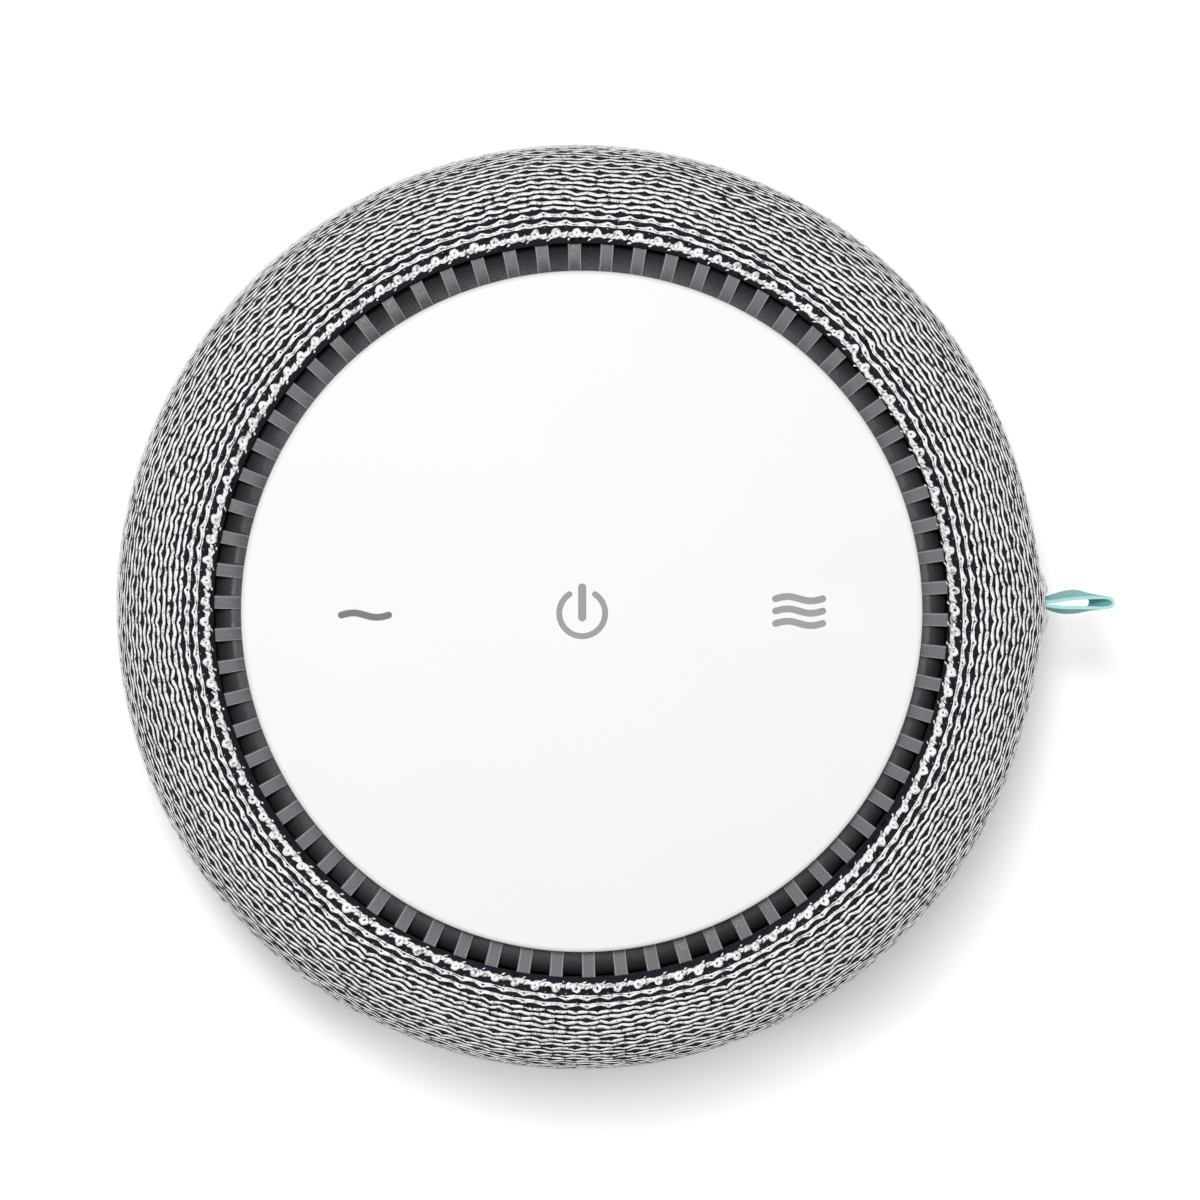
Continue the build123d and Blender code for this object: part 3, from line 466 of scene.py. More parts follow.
# ---- motor and fan ----------------------------------------------------------
# An outer-rotor motor on a pressed bracket: laminated core, enamelled coils,
# sintered bush and magnet, drawn cup, and the moulded fan pushed over it.
dress(drawn_metal("bracket_metal", (0.2, 0.2, 0.21), 0.5, metallic=0.6), "motor_bracket")
dress(drawn_metal("bush_bronze", (0.42, 0.27, 0.12), 0.45), "motor_bush")
dress(drawn_metal("core_steel", (0.36, 0.36, 0.37), 0.4, (60.0, 60.0, 9000.0), contrast=0.8),
      "motor_core", "rotor_cup")
dress(drawn_metal("coil_copper", (0.55, 0.2, 0.08), 0.3, (200.0, 200.0, 5000.0), contrast=1.2),
      "motor_windings")
dress(moulded("magnet", (0.03, 0.03, 0.032), 0.7, grain=1500.0), "rotor_magnet")
dress(moulded("fan_plastic", (0.42, 0.43, 0.44), 0.45), "fan_impeller")
dress(moulded("foam", (0.025, 0.025, 0.028), 0.95, grain=700.0, depth=0.0008, unevenness=1.2),
      "acoustic_foam")


# ---- the fabric's curve -------------------------------------------------------
# The knit is pulled over the shell, so every row of it lies on the shell's
# outside curve: four arcs, each tangent to the next, from lip to foot.
body_radius = 71.0
waist_height = 52.0
knit_top = 77.6
shoulder_radius = 14.0
upper_radius = 200.0
lower_radius = 130.0
under_radius = 16.0
knit_bottom = 4.4
shoulder_z = knit_top - shoulder_radius
under_z = knit_bottom + under_radius
upper_r = body_radius - upper_radius
lower_r = body_radius - lower_radius
shoulder_r = upper_r + sqrt(
    (upper_radius - shoulder_radius) ** 2 - (shoulder_z - waist_height) ** 2)
under_r = lower_r + sqrt((lower_radius - under_radius) ** 2 - (waist_height - under_z) ** 2)
lean = atan2(shoulder_z - waist_height, shoulder_r - upper_r)
tuck = atan2(waist_height - under_z, under_r - lower_r)
fabric_arcs = (
    (shoulder_r, shoulder_z, shoulder_radius, pi / 2, lean),
    (upper_r, waist_height, upper_radius, lean, 0.0),
    (lower_r, waist_height, lower_radius, 0.0, -tuck),
    (under_r, under_z, under_radius, -tuck, -pi / 2),
)


def fabric(along, lift):
    """Radius and height at a distance along the fabric from the lip, and lift off it."""
    along = np.asarray(along, float)
    radius = shoulder_r + np.minimum(along, 0)
    height = np.full(along.shape, knit_top) + lift
    start = 0.0
    for centre_r, centre_z, arc_radius, first, last in fabric_arcs:
        angle = first - (along - start) / arc_radius
        inside = along > start
        radius = np.where(inside, centre_r + (arc_radius + lift) * np.cos(angle), radius)
        height = np.where(inside, centre_z + (arc_radius + lift) * np.sin(angle), height)
        start += arc_radius * (first - last)
    return radius, height


# ---- knit: dark ground ---------------------------------------------------------
# The sleeve's ground is a dark navy yarn, seen only through the eyelets and
# between the rows. It is hemmed between the shell's foot and its ring.
stitches = 115              # in a round

yarn_group, yarn_in, yarn_out = effect(
    "plied_yarn",
    [("Colour", "Color", (0.5, 0.5, 0.5, 1)), ("Shadow", "Color", (0.3, 0.3, 0.3, 1)),
     ("Plies", "Float", 6.0), ("Patch Size", "Float", 260.0)],
    [("Colour", "Color"), ("Height", "Float")],
)
place = yarn_group.nodes.new("ShaderNodeTexCoord").outputs
split = joined(yarn_group, "ShaderNodeSeparateXYZ", (0, place["UV"])).outputs
along_yarn = maths(yarn_group, "MULTIPLY", split[0], yarn_in.outputs["Plies"])
turns = maths(yarn_group, "MULTIPLY", maths(yarn_group, "ADD", along_yarn, split[1]), 2 * pi)
slubs = noise_of(yarn_group, place["Object"], 700.0, 1.0)
plies = maths(yarn_group, "SINE", maths(yarn_group, "MULTIPLY_ADD", slubs, 18.0, turns))
fibres = noise_of(yarn_group, place["Object"], 5200.0, 3.0)
patches = noise_of(yarn_group, place["Object"], yarn_in.outputs["Patch Size"], 2.0)
height = maths(yarn_group, "MULTIPLY_ADD", plies, 0.2, fibres)
# The ply lines also move the tone: darker along the grooves between plies, as painted shade; the
# patches and fibres vary it at random.
tone = maths(yarn_group, "MULTIPLY_ADD", plies, 0.06, patches)
tone_and_fibre = maths(yarn_group, "MULTIPLY_ADD", fibres, 0.4, tone)
share = joined(yarn_group, "ShaderNodeMapRange", ("Value", tone_and_fibre), ("From Min", 0.42),
               ("From Max", 0.68))
mixed = joined(yarn_group, "ShaderNodeMix", (0, share.outputs[0]), (6, yarn_in.outputs["Shadow"]),
               (7, yarn_in.outputs["Colour"]), data_type="RGBA")
yarn_group.links.new(mixed.outputs[2], yarn_out.inputs["Colour"])
yarn_group.links.new(height, yarn_out.inputs["Height"])


def yarn(name, colour, shadow, plies=6.0, patch=260.0, depth=0.00006, sheen=0.12):
    """Soft plied yarn, mottled at random, with painted shade between its plies."""
    material, surface = faced(name, yarn_group, depth, Colour=(*colour, 1), Shadow=(*shadow, 1),
                              Plies=plies, Patch_Size=patch)
    surface.inputs["Roughness"].default_value = 0.95
    surface.inputs["Specular IOR Level"].default_value = 0.1
    surface.inputs["Sheen Weight"].default_value = sheen
    return material


dark_yarn = yarn("dark_yarn", (0.015, 0.0165, 0.025), (0.003, 0.0035, 0.0065), plies=4.0,
                 patch=700.0, depth=0.00015, sheen=0.04)
light_yarn = yarn("light_yarn", (0.94, 0.94, 0.935), (0.2, 0.2, 0.215), patch=1500.0)

ground_start, ground_end = 0.35, 79.3       # along the fabric from the lip
ground_outside, ground_inside = -0.055, -1.26
hem_inner, hem_low, hem_high = 58.0, 7.22, 7.96     # turned in over the shell's foot
rows_down = np.linspace(ground_start, ground_end, 90)
outer_r, outer_z = fabric(rows_down, ground_outside)
inner_r, inner_z = fabric(rows_down, ground_inside)
ground_outline = list(zip(outer_r, outer_z))
ground_outline += [(outer_r[-1] - 0.5, hem_low), (hem_inner, hem_low), (hem_inner, hem_high)]
ground_outline += [(r, z) for r, z in zip(inner_r[::-1], inner_z[::-1]) if z > hem_high + 0.04]
ground = smooth(turned("knit_ground", ground_outline, 2 * stitches), 60)
finished(ground, dark_yarn, "knit", "shell", "knit_sleeve")


# ---- knit: light courses --------------------------------------------------------
# The light yarn runs round in pairs of rows. A pair crosses between stitches
# and opens to an eyelet over each; the next pair's eyelets are half a stitch on.
def on_fabric(turn, along, lift):
    """Points on the fabric: turn in stitches, along and lift in millimetres."""
    radius, height = fabric(along, lift)
    angle = np.asarray(turn) * 2 * pi / stitches
    return np.stack([radius * np.cos(angle), radius * np.sin(angle), height], -1)


yarn_sides = 6
half_stitch = np.array([0.0, 0.03, 0.07, 0.2, 0.38, 0.57])
strand_steps = np.concatenate([-half_stitch[:0:-1], half_stitch])
row_pitch = 1.82
first_row_gap = 4.82        # from the lip to the first pair
pairs = 40
row_gap = 0.28              # dark line between two pairs
eyelet = 0.62               # height of an eyelet
closed_eye = 0.05           # what is left of it where a pair crosses
side_gap, side_eyelet = 0.4, 0.9    # how much wider both are down the side
row_swing = 0.07            # how far a row waves up and down
row_slant = 0.05            # how far a strand runs down over a stitch
least_half = 0.1            # half of the thinnest strand's width
yarn_height = 0.1
end_taper, end_dip = 0.3, 0.05
over_next = 0.06            # how far a strand's end rides over its neighbour


def strand(phase, upper_edge, lower_edge, height=yarn_height, proud=0.02):
    """One stitch of a row between two edges; it starts under and ends over its neighbours."""
    middle = (upper_edge + lower_edge) / 2 + row_slant * strand_steps
    end = np.abs(strand_steps) / half_stitch[-1]
    half = np.maximum((lower_edge - upper_edge) / 2, least_half) * (1 - end_taper * end ** 4)
    rise = proud + over_next * strand_steps - end_dip * end ** 2
    around_yarn = np.arange(yarn_sides) * 2 * pi / yarn_sides + pi / yarn_sides
    along = middle[:, None] + half[:, None] * np.cos(around_yarn)
    lift = rise[:, None] + height * (np.sin(around_yarn)[None, :] - 1)
    return phase, along, lift


def stitch_mesh(name, strands):
    """One stitch of several rows, each strand a closed length of yarn with its UVs."""
    vertices, faces, uvs = [], [], []
    steps = len(strand_steps)
    for phase, along, lift in strands:
        first = len(vertices)
        turn = np.repeat(strand_steps[:, None], yarn_sides, 1) + phase
        vertices.extend(on_fabric(turn, along, lift).reshape(-1, 3))
        for i in range(steps - 1):
            for j in range(yarn_sides):
                k = (j + 1) % yarn_sides
                faces.append((first + i * yarn_sides + j, first + (i + 1) * yarn_sides + j,
                              first + (i + 1) * yarn_sides + k, first + i * yarn_sides + k))
                low, high = j / yarn_sides, (j + 1) / yarn_sides
                here, after = strand_steps[i], strand_steps[i + 1]
                uvs.extend([(here, low), (after, low), (after, high), (here, high)])
        for ring, order in ((0, 1), (steps - 1, -1)):
            faces.append(tuple(first + ring * yarn_sides + j for j in range(yarn_sides))[::order])
            uvs.extend([(strand_steps[ring], j / yarn_sides) for j in range(yarn_sides)])
    return placed(name, vertices, faces, uvs)


def wave(row, level):
    """Line between two pairs; level is +1 where it rises at the strand's middle."""
    return row + row_swing * level * np.cos(2 * pi * strand_steps)


def peak(width):
    """Narrow rise at the middle of the strand."""
    return np.exp(-((strand_steps / width) ** 2))


def pair_of_rows(number):
    """Upper and lower row of a pair, with its eyelets between."""
    above = first_row_gap + row_pitch * number
    phase = 0.5 if number % 2 == 0 else 0.0
    side = min(max(above - 6, 0) / 12, 1)       # 0 on the shoulder, 1 down the side
    gap = row_gap * (1 + side_gap * side) / 2
    opening = np.interp(np.abs(strand_steps), half_stitch, (1, 0.98, 0.92, 0.58, 0.18, 0))
    eye = eyelet * (1 + side_eyelet * side) * opening + closed_eye * (1 - opening)
    tick = 0.16 * peak(0.05)
    middle = above + row_pitch / 2
    upper = strand(phase, wave(above, -1) + gap, middle - eye / 2)
    lower = strand(phase, middle + eye / 2 + tick, wave(above + row_pitch, 1) - gap)
    return [upper, lower]


def edge_rows():
    """The three fuller rows next to the cast-off edge, two with an arched upper ply."""
    arch, dot = peak(0.22), 0.3 * peak(0.045)
    rows = []
    for first, depth, swell in ((1.6, 0.6, 0.38), (2.88, 0.58, 0.36)):
        split = first + depth * 0.5 + 0.2 * arch
        rows += [strand(0.5, first + 0.1 * arch, split + 0.03 - dot / 2, 0.16),
                 strand(0.5, split - 0.03 + dot / 2, first + depth + swell * arch, 0.16, 0.05)]
    notch = 0.24 * peak(0.05)
    rows.append(strand(0.0, 4.12 + 0.1 * np.cos(2 * pi * strand_steps) + notch,
                       wave(first_row_gap, 1) - row_gap / 2, 0.12))
    return rows


wander = np.random.default_rng(7)
wander_terms = list(zip(
    wander.integers(2, 26, 18), wander.uniform(-0.25, 0.25, 18), wander.uniform(0, 2 * pi, 18),
    wander.uniform(0.03, 0.085, 18)))
wander_terms += zip(
    wander.integers(60, 230, 24), wander.uniform(-2.4, 2.4, 24), wander.uniform(0, 2 * pi, 24),
    wander.uniform(0.008, 0.024, 24))
edge_terms = ((1, 0.25, 266), (2, 0.16, 250), (3, 0.10, 259), (4, 0.12, 163), (5, 0.025, 242),
              (6, 0.095, 196))      # waves in a round, height and degrees
edge_run = 14                       # how far down the lip's waves are felt
knitting_step = 0.36                # the rows climb by two of these in one round
step_turn, step_drift = 43.5, 0.3   # where they do, in degrees, and its lean
side_fullness = 0.2
shoulder_along = shoulder_radius * (pi / 2 - lean)
shoulder_foot = shoulder_z + shoulder_radius * sin(lean)
loop_along = shoulder_along + upper_radius * lean
loop_gather = 0.6                   # rows drawn towards the loop's seam
loop_bulge, seam_pull, seam_hollow = 2.2, 1.8, 0.4


def lain(piece):
    """Let the rows wander, climb as one spiral, and gather where the loop is sewn in."""
    points = np.empty(len(piece.data.vertices) * 3)
    piece.data.vertices.foreach_get("co", points)
    x, y, z = points.reshape(-1, 3).T / mm
    radius, turn = np.hypot(x, y), np.arctan2(y, x)
    on_shoulder = z > shoulder_foot
    slope = np.arctan2(z - shoulder_z, np.maximum(radius - shoulder_r, 0.0))
    side_along = shoulder_along + shoulder_foot - z
    along = np.where(on_shoulder, shoulder_radius * (pi / 2 - slope), side_along)
    facing = np.where(on_shoulder, slope, 0.0)
    shift = sum(a * np.sin(k * turn + l * along + p) for k, l, p, a in wander_terms)
    shift = shift * np.clip(along / 6, 0, 1)
    edge = sum(a * np.cos(k * turn - radians(p)) for k, a, p in edge_terms)
    shift += edge * np.exp(-along / edge_run)
    past_step = (np.degrees(turn) - step_turn + step_drift * along) % 360
    climb = 1 - past_step / 180
    settle = np.exp(-past_step / 0.35) - np.exp((past_step - 360) / 0.35)
    shift += knitting_step * (climb - settle)
    near = np.degrees(turn)
    level = along - loop_along

    def spot(angle, half_angle, half_level):
        """One by the loop's seam, fading with the angle and the level."""
        return np.exp(-((angle / half_angle) ** 2) - (level / half_level) ** 2)

    shift -= level * loop_gather * spot(near, 8, 14)
    lift = loop_bulge * spot(near - 0.2, 4.2, 12)
    lift -= seam_pull * spot(near - 0.4, 1.0, 8)
    lift -= seam_hollow * spot(np.abs(near) - 15, 7, 14)
    lift += side_fullness * np.clip((along - 4) / 14, 0, 1) * np.clip((75 - along) / 10, 0, 1)
    radius += shift * np.sin(facing) + lift * np.cos(facing)
    z += lift * np.sin(facing) - shift * np.cos(facing)
    laid = np.stack([radius * np.cos(turn), radius * np.sin(turn), z], -1) * mm
    piece.data.vertices.foreach_set("co", laid.ravel())
    piece.data.update()
    return piece


def knitted(piece, material, **unevenness):
    """Repeat a stitch round the shell, lay it on and keep it with the sleeve."""
    repeated(piece, Count=stitches, Material=material, **unevenness)
    lain(piece)
    piece.data.shade_smooth()
    finished(piece, material, "knit", "shell")


lain(ground)
rows = edge_rows()
for number in range(pairs):
    rows += pair_of_rows(number)
band_size = 13
for band, first in enumerate(range(0, len(rows), band_size)):
    courses = stitch_mesh(f"knit_courses_{band + 1}", rows[first:first + band_size])
    knitted(courses, light_yarn, Unevenness=0.2 * mm, Grain_Size=700.0, Seed=3.0)


# ---- knit: cast-off edge ---------------------------------------------------------
# The top row is cast off: each stitch ends in a round loop with a slanting
# link to the next, over a dark edging that grips the shell's lip.
def yarn_tube(path, thickness, sides=6, closed=False):
    """Tube along (turn in mm at the edge, along, lift), as points and faces."""
    path = np.asarray(path, float)
    count = len(path)
    if closed:
        heading = np.roll(path, -1, 0) - np.roll(path, 1, 0)
    else:
        heading = np.gradient(path, axis=0)
    heading /= np.linalg.norm(heading, axis=1)[:, None]
    side = np.cross(heading, (0, 0, 1.0))
    side /= np.maximum(np.linalg.norm(side, axis=1), 1e-6)[:, None]
    up = np.cross(side, heading)
    angles = np.arange(sides) * 2 * pi / sides
    thickness = np.broadcast_to(thickness, count)
    rings = [path + thickness[:, None] * (cos(a) * side + sin(a) * up) for a in angles]
    points = np.stack(rings, 1).reshape(-1, 3)
    faces = []
    for i in range(count if closed else count - 1):
        after = (i + 1) % count
        for j in range(sides):
            k = (j + 1) % sides
            faces.append((i * sides + j, i * sides + k, after * sides + k, after * sides + j))
    if not closed:
        faces.append(tuple(range(sides)))
        faces.append(tuple(range((count - 1) * sides, count * sides))[::-1])
    return points, faces


edge_radius = 57.1
stitch_length = 2 * pi * edge_radius / stitches


def stitch_from_tubes(name, tubes):
    """Several yarn tubes of one stitch, laid on the fabric."""
    vertices, faces = [], []
    for points, sides in tubes:
        first = len(vertices)
        vertices.extend(on_fabric(points[:, 0] / stitch_length, points[:, 1], points[:, 2]))
        faces.extend([tuple(first + i for i in face) for face in sides])
    return outward(placed(name, vertices, faces))


def oval(turn, along, lift, half_turn, half_along, slant, count=12):
    """Closed oval path on the fabric, its lower side a little proud."""
    t = np.arange(count) * 2 * pi / count
    a, b = half_turn * np.cos(t), half_along * np.sin(t)
    return np.stack([turn + a * cos(slant) - b * sin(slant),
                     along + a * sin(slant) + b * cos(slant),
                     np.full(count, lift) + 0.08 * np.sin(t)], -1)


loop_and_link = [
    yarn_tube(oval(0, 0.6, -0.06, 0.4, 0.46, radians(25)), 0.33, closed=True),
    yarn_tube([(0.3, -0.04, -0.25), (0.75, 0.0, -0.14), (1.2, 0.06, -0.25)], (0.12, 0.22, 0.12)),
    yarn_tube([(1.3, 0.06, -0.25), (1.95, 0.0, -0.14), (2.6, 0.06, -0.25)], (0.12, 0.22, 0.12)),
    yarn_tube([(1.4, 0.08, -0.22), (1.02, 0.36, 0.0), (0.6, 0.6, -0.2)], (0.16, 0.3, 0.16)),
    yarn_tube([(2.15, 0.12, -0.22), (1.72, 0.38, 0.02), (1.3, 0.76, -0.2)], (0.16, 0.28, 0.16)),
    yarn_tube([(2.75, 0.06, -0.22), (2.35, 0.3, 0.0), (1.95, 0.58, -0.2)], (0.16, 0.3, 0.16)),
    yarn_tube([(0.9, -0.24, -0.22), (1.16, -0.38, -0.05), (1.42, -0.5, -0.2)], (0.08, 0.15, 0.08)),
]
cast_off = stitch_from_tubes("knit_cast_off", loop_and_link)
knitted(cast_off, light_yarn, Unevenness=0.8 * mm, Grain_Size=900.0, Seed=5.0)

under_loops = stitch_from_tubes("knit_under_loops", [
    yarn_tube([(1.25, 1.2, -0.35), (1.6, 1.5, -0.12), (1.95, 1.2, -0.35)], (0.1, 0.14, 0.1)),
    yarn_tube([(-0.3, 2.55, -0.35), (0.0, 2.85, -0.12), (0.3, 2.55, -0.35)], (0.1, 0.14, 0.1)),
])
grey_yarn = yarn("grey_yarn", (0.3, 0.305, 0.33), (0.06, 0.062, 0.075))
knitted(under_loops, grey_yarn, Unevenness=0.3 * mm, Grain_Size=500.0, Seed=8.0)

rim_bore = 55.82
rim_outline = [(rim_bore, 73.6), (56.4, 73.55), (56.4, 76.25), (57.4, 76.2), (57.6, 76.6),
               (57.3, 77.1), (56.9, 77.42), (56.6, 77.5), (56.15, 77.42), (55.9, 77.2),
               (rim_bore, 76.9)]
rim = smooth(turned("rim_edging", rim_outline, 2 * stitches), 50)
finished(rim, dark_yarn, "knit_edge", "shell", "rim_band")


# ---- pull loop -----------------------------------------------------------------
# A short length of woven teal ribbon, folded on itself and sewn into the
# knit at the waist. The two strands spring apart between seam and fold.
ribbon_width = 8.0
loop_height = 53.5
ribbon_path = np.array([        # x, y, lean across, lean along, in millimetres and degrees
    (70.4, 0.62, 0, 0), (72.4, 0.82, -2, 0), (73.8, 1.12, -4, 0), (75.4, 1.52, -5.9, 0),
    (77.0, 1.73, -6.4, 0), (78.4, 1.68, -5, 6), (79.8, 1.6, -2.5, 14), (80.8, 1.35, 0, 20),
    (81.25, 0.65, 0, 22), (81.05, -0.1, 1, 21), (80.0, -0.5, 3, 15), (78.8, -0.6, 5.5, 7),
    (77.2, -0.66, 7, 0), (75.4, -0.7, 7.3, 0), (73.8, -0.45, 5.5, 0), (72.4, -0.02, 2.5, 0),
    (70.4, 0.35, 0, 0),
])
fine_steps = np.linspace(0, 1, 121)
knots = np.linspace(0, 1, len(ribbon_path))


def eased(column):
    """Smooth run through a column of the ribbon's path."""
    curve = np.interp(fine_steps, knots, column)
    for _ in range(14):
        curve[1:-1] = (curve[:-2] + 2 * curve[1:-1] + curve[2:]) / 4
    return curve


run_x, run_y, run_lean, run_tip = (eased(ribbon_path[:, i]) for i in range(4))
across_steps = np.linspace(-1, 1, 13)
vertices, faces, uvs = [], [], []
length_so_far = np.concatenate([[0], np.cumsum(np.hypot(np.diff(run_x), np.diff(run_y)))])
for i in range(len(fine_steps)):
    for w in across_steps:
        reach = ribbon_width / 2 * w
        vertices.append((run_x[i] + reach * sin(radians(run_tip[i])),
                         run_y[i] + reach * sin(radians(run_lean[i])),
                         loop_height + reach * cos(radians(run_tip[i]))))
for i in range(len(fine_steps) - 1):
    for j in range(len(across_steps) - 1):
        a = i * len(across_steps) + j
        b = a + len(across_steps)
        faces.append((a, b, b + 1, a + 1))
        low, high = (across_steps[j] + 1) / 2, (across_steps[j + 1] + 1) / 2
        here, after = length_so_far[i] / ribbon_width, length_so_far[i + 1] / ribbon_width
        uvs.extend([(here, low), (after, low), (after, high), (here, high)])
ribbon = placed("pull_ribbon", vertices, faces, uvs)
thick = ribbon.modifiers.new("thickness", "SOLIDIFY")
thick.thickness = 0.5 * mm
thick.offset = 0
settled(ribbon)

ribbon_cloth, cloth_tree, cloth_surface = shader("teal_ribbon")
uv = cloth_tree.nodes.new("ShaderNodeTexCoord").outputs["UV"]
split = joined(cloth_tree, "ShaderNodeSeparateXYZ", (0, uv)).outputs
weft_count, warp_count = 22, 30     # to one ribbon width
weft = maths(cloth_tree, "SINE", maths(cloth_tree, "MULTIPLY", split[0], 2 * pi * weft_count))
warp = maths(cloth_tree, "SINE", maths(cloth_tree, "MULTIPLY", split[1], 2 * pi * warp_count))
weave = maths(cloth_tree, "MULTIPLY", weft, warp)
tone = maths(cloth_tree, "MULTIPLY_ADD", weave, 0.18, noise_of(cloth_tree, uv, 60.0, 4.0))
off_centre = maths(cloth_tree, "ABSOLUTE", maths(cloth_tree, "SUBTRACT", split[1], 0.5))
selvage = joined(cloth_tree, "ShaderNodeMapRange", ("Value", off_centre), ("From Min", 0.44),
                 ("From Max", 0.5))
teal = joined(cloth_tree, "ShaderNodeMix", (0, tone), (6, (0.2, 0.64, 0.63, 1)),
              (7, (0.4, 0.86, 0.85, 1)), data_type="RGBA")
edged = joined(cloth_tree, "ShaderNodeMix", (0, selvage.outputs[0]), (6, teal.outputs[2]),
               (7, (0.42, 0.78, 0.76, 1)), data_type="RGBA")
bump = joined(cloth_tree, "ShaderNodeBump", ("Height", tone), ("Distance", 0.0001))
cloth_tree.links.new(edged.outputs[2], cloth_surface.inputs["Base Color"])
cloth_tree.links.new(bump.outputs[0], cloth_surface.inputs["Normal"])
cloth_surface.inputs["Roughness"].default_value = 0.8
cloth_surface.inputs["Sheen Weight"].default_value = 0.2
smooth(ribbon, 40)
finished(ribbon, ribbon_cloth, "loop_ribbon", "shell", "pull_loop")


# ---- vent ring -----------------------------------------------------------------
# Seventy ribs bridge a recess that curves down from the panel to the knit,
# where the fan's air comes in. One moulding of dark plastic, satin on the ribs;
# the recess is coloured darker than the ribs, as painted shade.
vent_bore = 48.9
vent_wall = 50.9
vent_outer = 55.65
vent_foot, vent_top = 68.4, 78.6
vent_outline = [
    (vent_bore, vent_foot), (vent_wall, vent_foot), (vent_wall, 74.3), (53.8, 72.4),
    (53.8, vent_foot), (vent_outer, vent_foot), (vent_outer, 72.1), (54.75, 73.9), (54.4, 74.6),
    (54.0, 75.2), (53.5, 75.7), (52.9, 76.1), (52.2, 76.4), (vent_wall, 76.75),
    (vent_wall, vent_top), (vent_bore, vent_top),
]
# Darker than the ribs' colour below, though the same moulding: painted shade in the recess.
vent_plastic = moulded("vent_plastic", (0.073, 0.075, 0.083), 0.37, grain=3000.0, unevenness=1.0)
vent_body = smooth(turned("vent_recess", vent_outline, 210), 30)
finished(vent_body, vent_plastic, "vent_plastic", "base", "vent_ring")


def vent_rib(width=2.02, nose=0.2, inner=vent_wall - 0.2, outer=vent_outer + 0.05, top=77.5,
             inner_foot=75.4, outer_foot=70.4, edge=0.3):
    """One rib: a bar that rises from under the panel, with rounded edges and nose, its bevels
    marked for a painted highlight.
    """
    profile = [(inner, top - 0.8), (51.6, top - 0.5), (52.2, top - 0.28), (52.8, top - 0.12),
               (53.4, top - 0.03), (54.0, top)]
    profile += [(outer - nose * (1 - sin(t)), top - nose * (1 - cos(t)))
                for t in np.linspace(0, pi / 2, 4)]
    half, eased = width / 2, 0.3 * edge
    section = [(half, edge), (half - eased, eased), (half - edge, 0)]
    section += [(-y, down) for y, down in section[::-1]]
    vertices, faces, edge_highlight_marks = [], [], []
    for r, z in profile:
        bottom = np.interp(r, (inner, outer), (inner_foot, outer_foot))
        vertices += [(r, half, bottom), *((r, y, z - down) for y, down in section),
                     (r, -half, bottom)]
        # The middle point of each bevel is marked for a paler colour: a painted highlight on the
        # rib's edges.
        edge_highlight_marks += [0, 0, 1, 0, 0, 1, 0, 0]
    corners = len(section) + 2
    for i in range(len(profile) - 1):
        here, after = corners * i, corners * (i + 1)
        for j in range(corners):
            k = (j + 1) % corners
            faces.append((here + j, here + k, after + k, after + j))
    faces += [tuple(range(corners)), tuple(range(len(vertices) - corners, len(vertices)))]
    piece = placed("vent_ribs", vertices, faces)
    piece.data.attributes.new("painted_edge_highlight", "FLOAT", "POINT").data.foreach_set("value", edge_highlight_marks)
    return outward(piece)


rib_plastic = moulded("rib_plastic", (0.128, 0.131, 0.141), 0.64, grain=3000.0, unevenness=1.2)
rib_tree = rib_plastic.node_tree
rib_surface = rib_tree.nodes["Principled BSDF"]
rib_colour = rib_surface.inputs["Base Color"].links[0].from_socket
# Where the mark is, the rib's colour turns paler: a painted highlight along its edges.
painted_edge_highlight = joined(rib_tree, "ShaderNodeAttribute", attribute_name="painted_edge_highlight")
painted_highlight_colour = joined(rib_tree, "ShaderNodeMix", (0, painted_edge_highlight.outputs["Fac"]), (6, rib_colour),
               (7, (0.36, 0.365, 0.385, 1)), data_type="RGBA")
rib_tree.links.new(painted_highlight_colour.outputs[2], rib_surface.inputs["Base Color"])
ribs_piece = repeated(vent_rib(), Count=70, Start_Angle=radians(3.69), Material=rib_plastic)
smooth(ribs_piece, 12)
finished(ribs_piece, rib_plastic, "vent_plastic", "base")


# ---- touch panel ----------------------------------------------------------------
# One satin white moulding with an eased edge. The three symbols are let into
# it a little below the face: one wave, power, three waves.
panel_radius = 51.6
panel_top = 81.0
panel_bottom = 78.6
edge_round = 0.75
panel_lip = 1.1              # how far the skirt stands in from the edge
symbol_recess = 0.15
symbol_thickness = 1.2
symbol_pitch = 32.85         # middle of the panel to a side symbol
wave_spacing = 1.87


def stroke(path, width, cap_steps=8):
    """Outline of a round-ended line of constant width along a path."""
    path = np.asarray(path, float)
    heading = np.gradient(path, axis=0)
    heading /= np.linalg.norm(heading, axis=1)[:, None]
    side = np.stack([-heading[:, 1], heading[:, 0]], -1) * width / 2
    half_turn = -np.linspace(0, pi, cap_steps + 2)[1:-1]

    def cap(centre, first):
        """Half a circle round a line's end."""
        x, y = first
        return [centre + (x * cos(a) - y * sin(a), x * sin(a) + y * cos(a)) for a in half_turn]

    return np.array([*(path + side), *cap(path[-1], side[-1]),
                     *(path - side)[::-1], *cap(path[0], -side[0])])


def slab(name, outlines, low, high):
    """Flat outlines made into closed slabs between two heights."""
    vertices, faces = [], []
    for outline in outlines:
        first, count = len(vertices), len(outline)
        vertices += [(x, y, low) for x, y in outline] + [(x, y, high) for x, y in outline]
        faces.append(tuple(first + i for i in range(count))[::-1])
        faces.append(tuple(first + count + i for i in range(count)))
        for i in range(count):
            j = (i + 1) % count
            faces.append((first + i, first + j, first + count + j, first + count + i))
    return outward(placed(name, vertices, faces))


def wave_line(x, y, length=8.2, width=1.04, rise=0.33):
    """A wave with its crest on the left and its trough on the right."""
    t = np.linspace(0, 1, 41)
    reach = length - width
    return stroke(np.stack([x + reach * (t - 0.5), y + rise * np.sin(2 * pi * t)], -1), width)


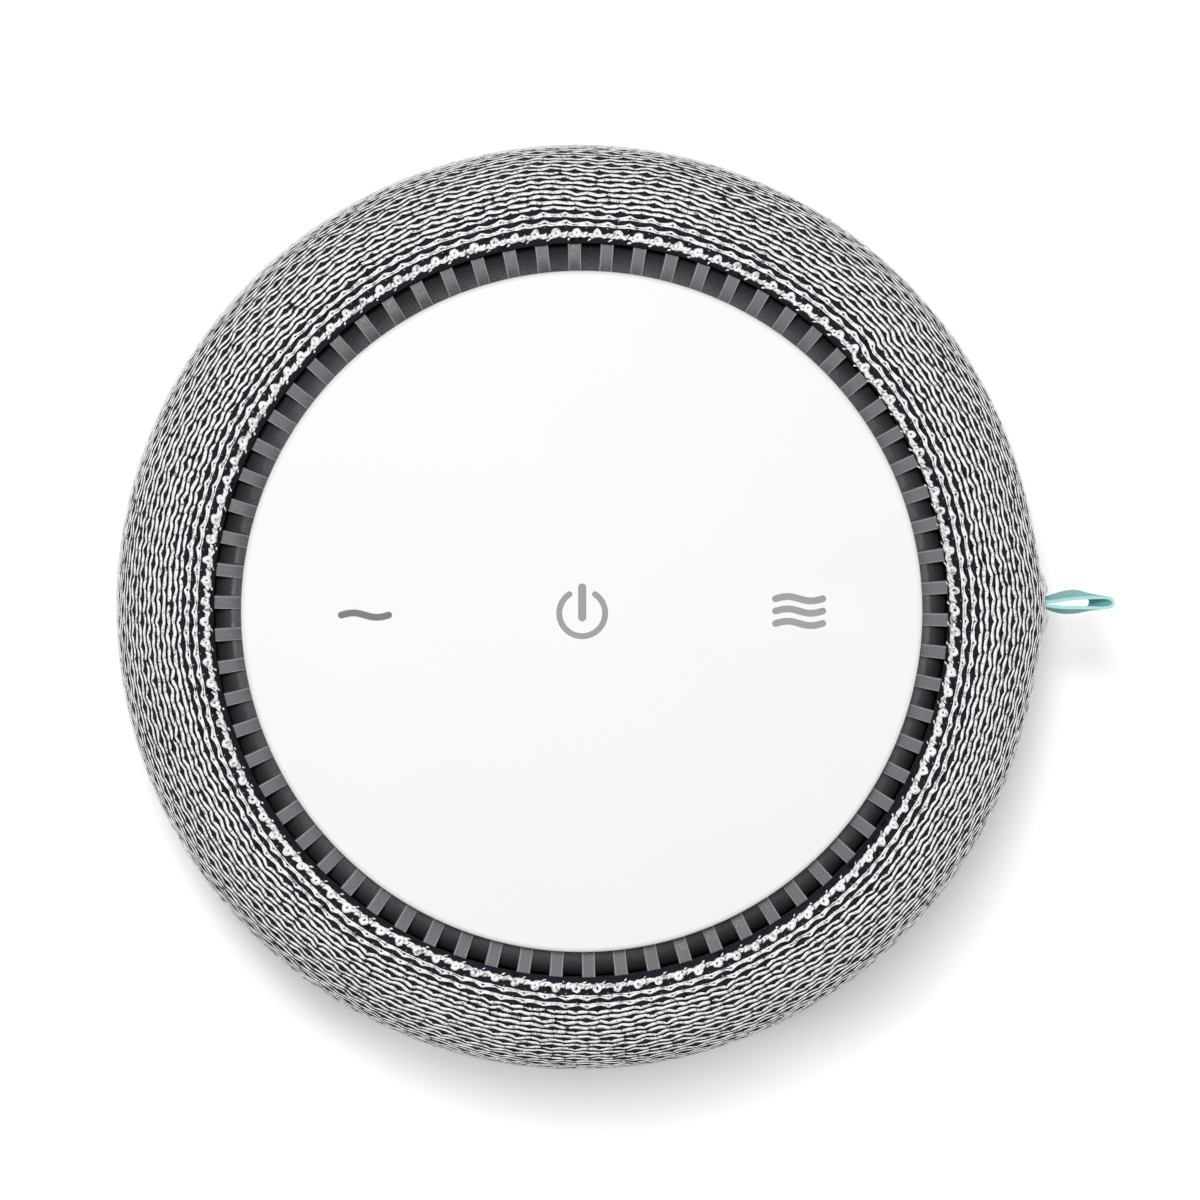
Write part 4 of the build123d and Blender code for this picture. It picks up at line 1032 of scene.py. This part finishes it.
def power_lines(y=-0.2, radius=3.47, width=0.9, gap=34, bar_up=1.65, bar_length=5.74,
                bar_width=1.23):
    """An open ring, and the bar in its gap."""
    t = np.radians(np.linspace(90 + gap, 450 - gap, 81))
    arc = stroke(np.stack([radius * np.cos(t), y + radius * np.sin(t)], -1), width)
    bar_half = (bar_length - bar_width) / 2
    bar_y = y + bar_up + np.linspace(-bar_half, bar_half, 9)
    return [arc, stroke(np.stack([0 * bar_y, bar_y], -1), bar_width)]


symbols = {
    "icon_power": power_lines(),
    "icon_low_wave": [wave_line(-symbol_pitch, -0.45)],
    "icon_high_waves": [wave_line(symbol_pitch, 0.1 + step * wave_spacing) for step in (-1, 0, 1)],
}
middle = 0.0005              # the outline's points nearest the centre line
rounded_edge = [(panel_radius - edge_round * (1 - cos(t)), panel_top - edge_round * (1 - sin(t)))
                for t in np.linspace(0, pi / 2, 9)]
panel_outline = [(middle, panel_bottom), (panel_radius - panel_lip, panel_bottom),
                 (panel_radius - panel_lip, 79.2), (panel_radius - 0.1, 79.5), *rounded_edge,
                 (middle, panel_top)]
panel = turned("touch_panel", panel_outline, 240)
all_lines = [line for lines in symbols.values() for line in lines]
symbol_face = panel_top - symbol_recess
symbol_floor = symbol_face - symbol_thickness
cut_out(panel, [slab("symbol_cutter", all_lines, symbol_floor, panel_top + 1)])
panel_white = moulded("panel_white", (0.82, 0.82, 0.812), 0.5, 4000.0, 0.000006, 0.03)
finished(smooth(panel, 30), panel_white, "panel_white", "base", "top_panel")

icon_grey = moulded("icon_grey", (0.27, 0.27, 0.275), 0.5, 4000.0, 0.00001, 0.25)
icon_dark = moulded("icon_dark", (0.13, 0.13, 0.135), 0.5, 4000.0, 0.00001, 0.25)
for node, lines in symbols.items():
    inlay = smooth(slab(node + "_inlay", lines, symbol_floor, symbol_face), 30)
    if node == "icon_low_wave":
        finished(inlay, icon_dark, "icon_dark", "base", node)
    else:
        finished(inlay, icon_grey, "icon_grey", "base", node)


# ---- sizes --------------------------------------------------------------------
# The box of the finished pieces, in metres.
low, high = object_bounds()
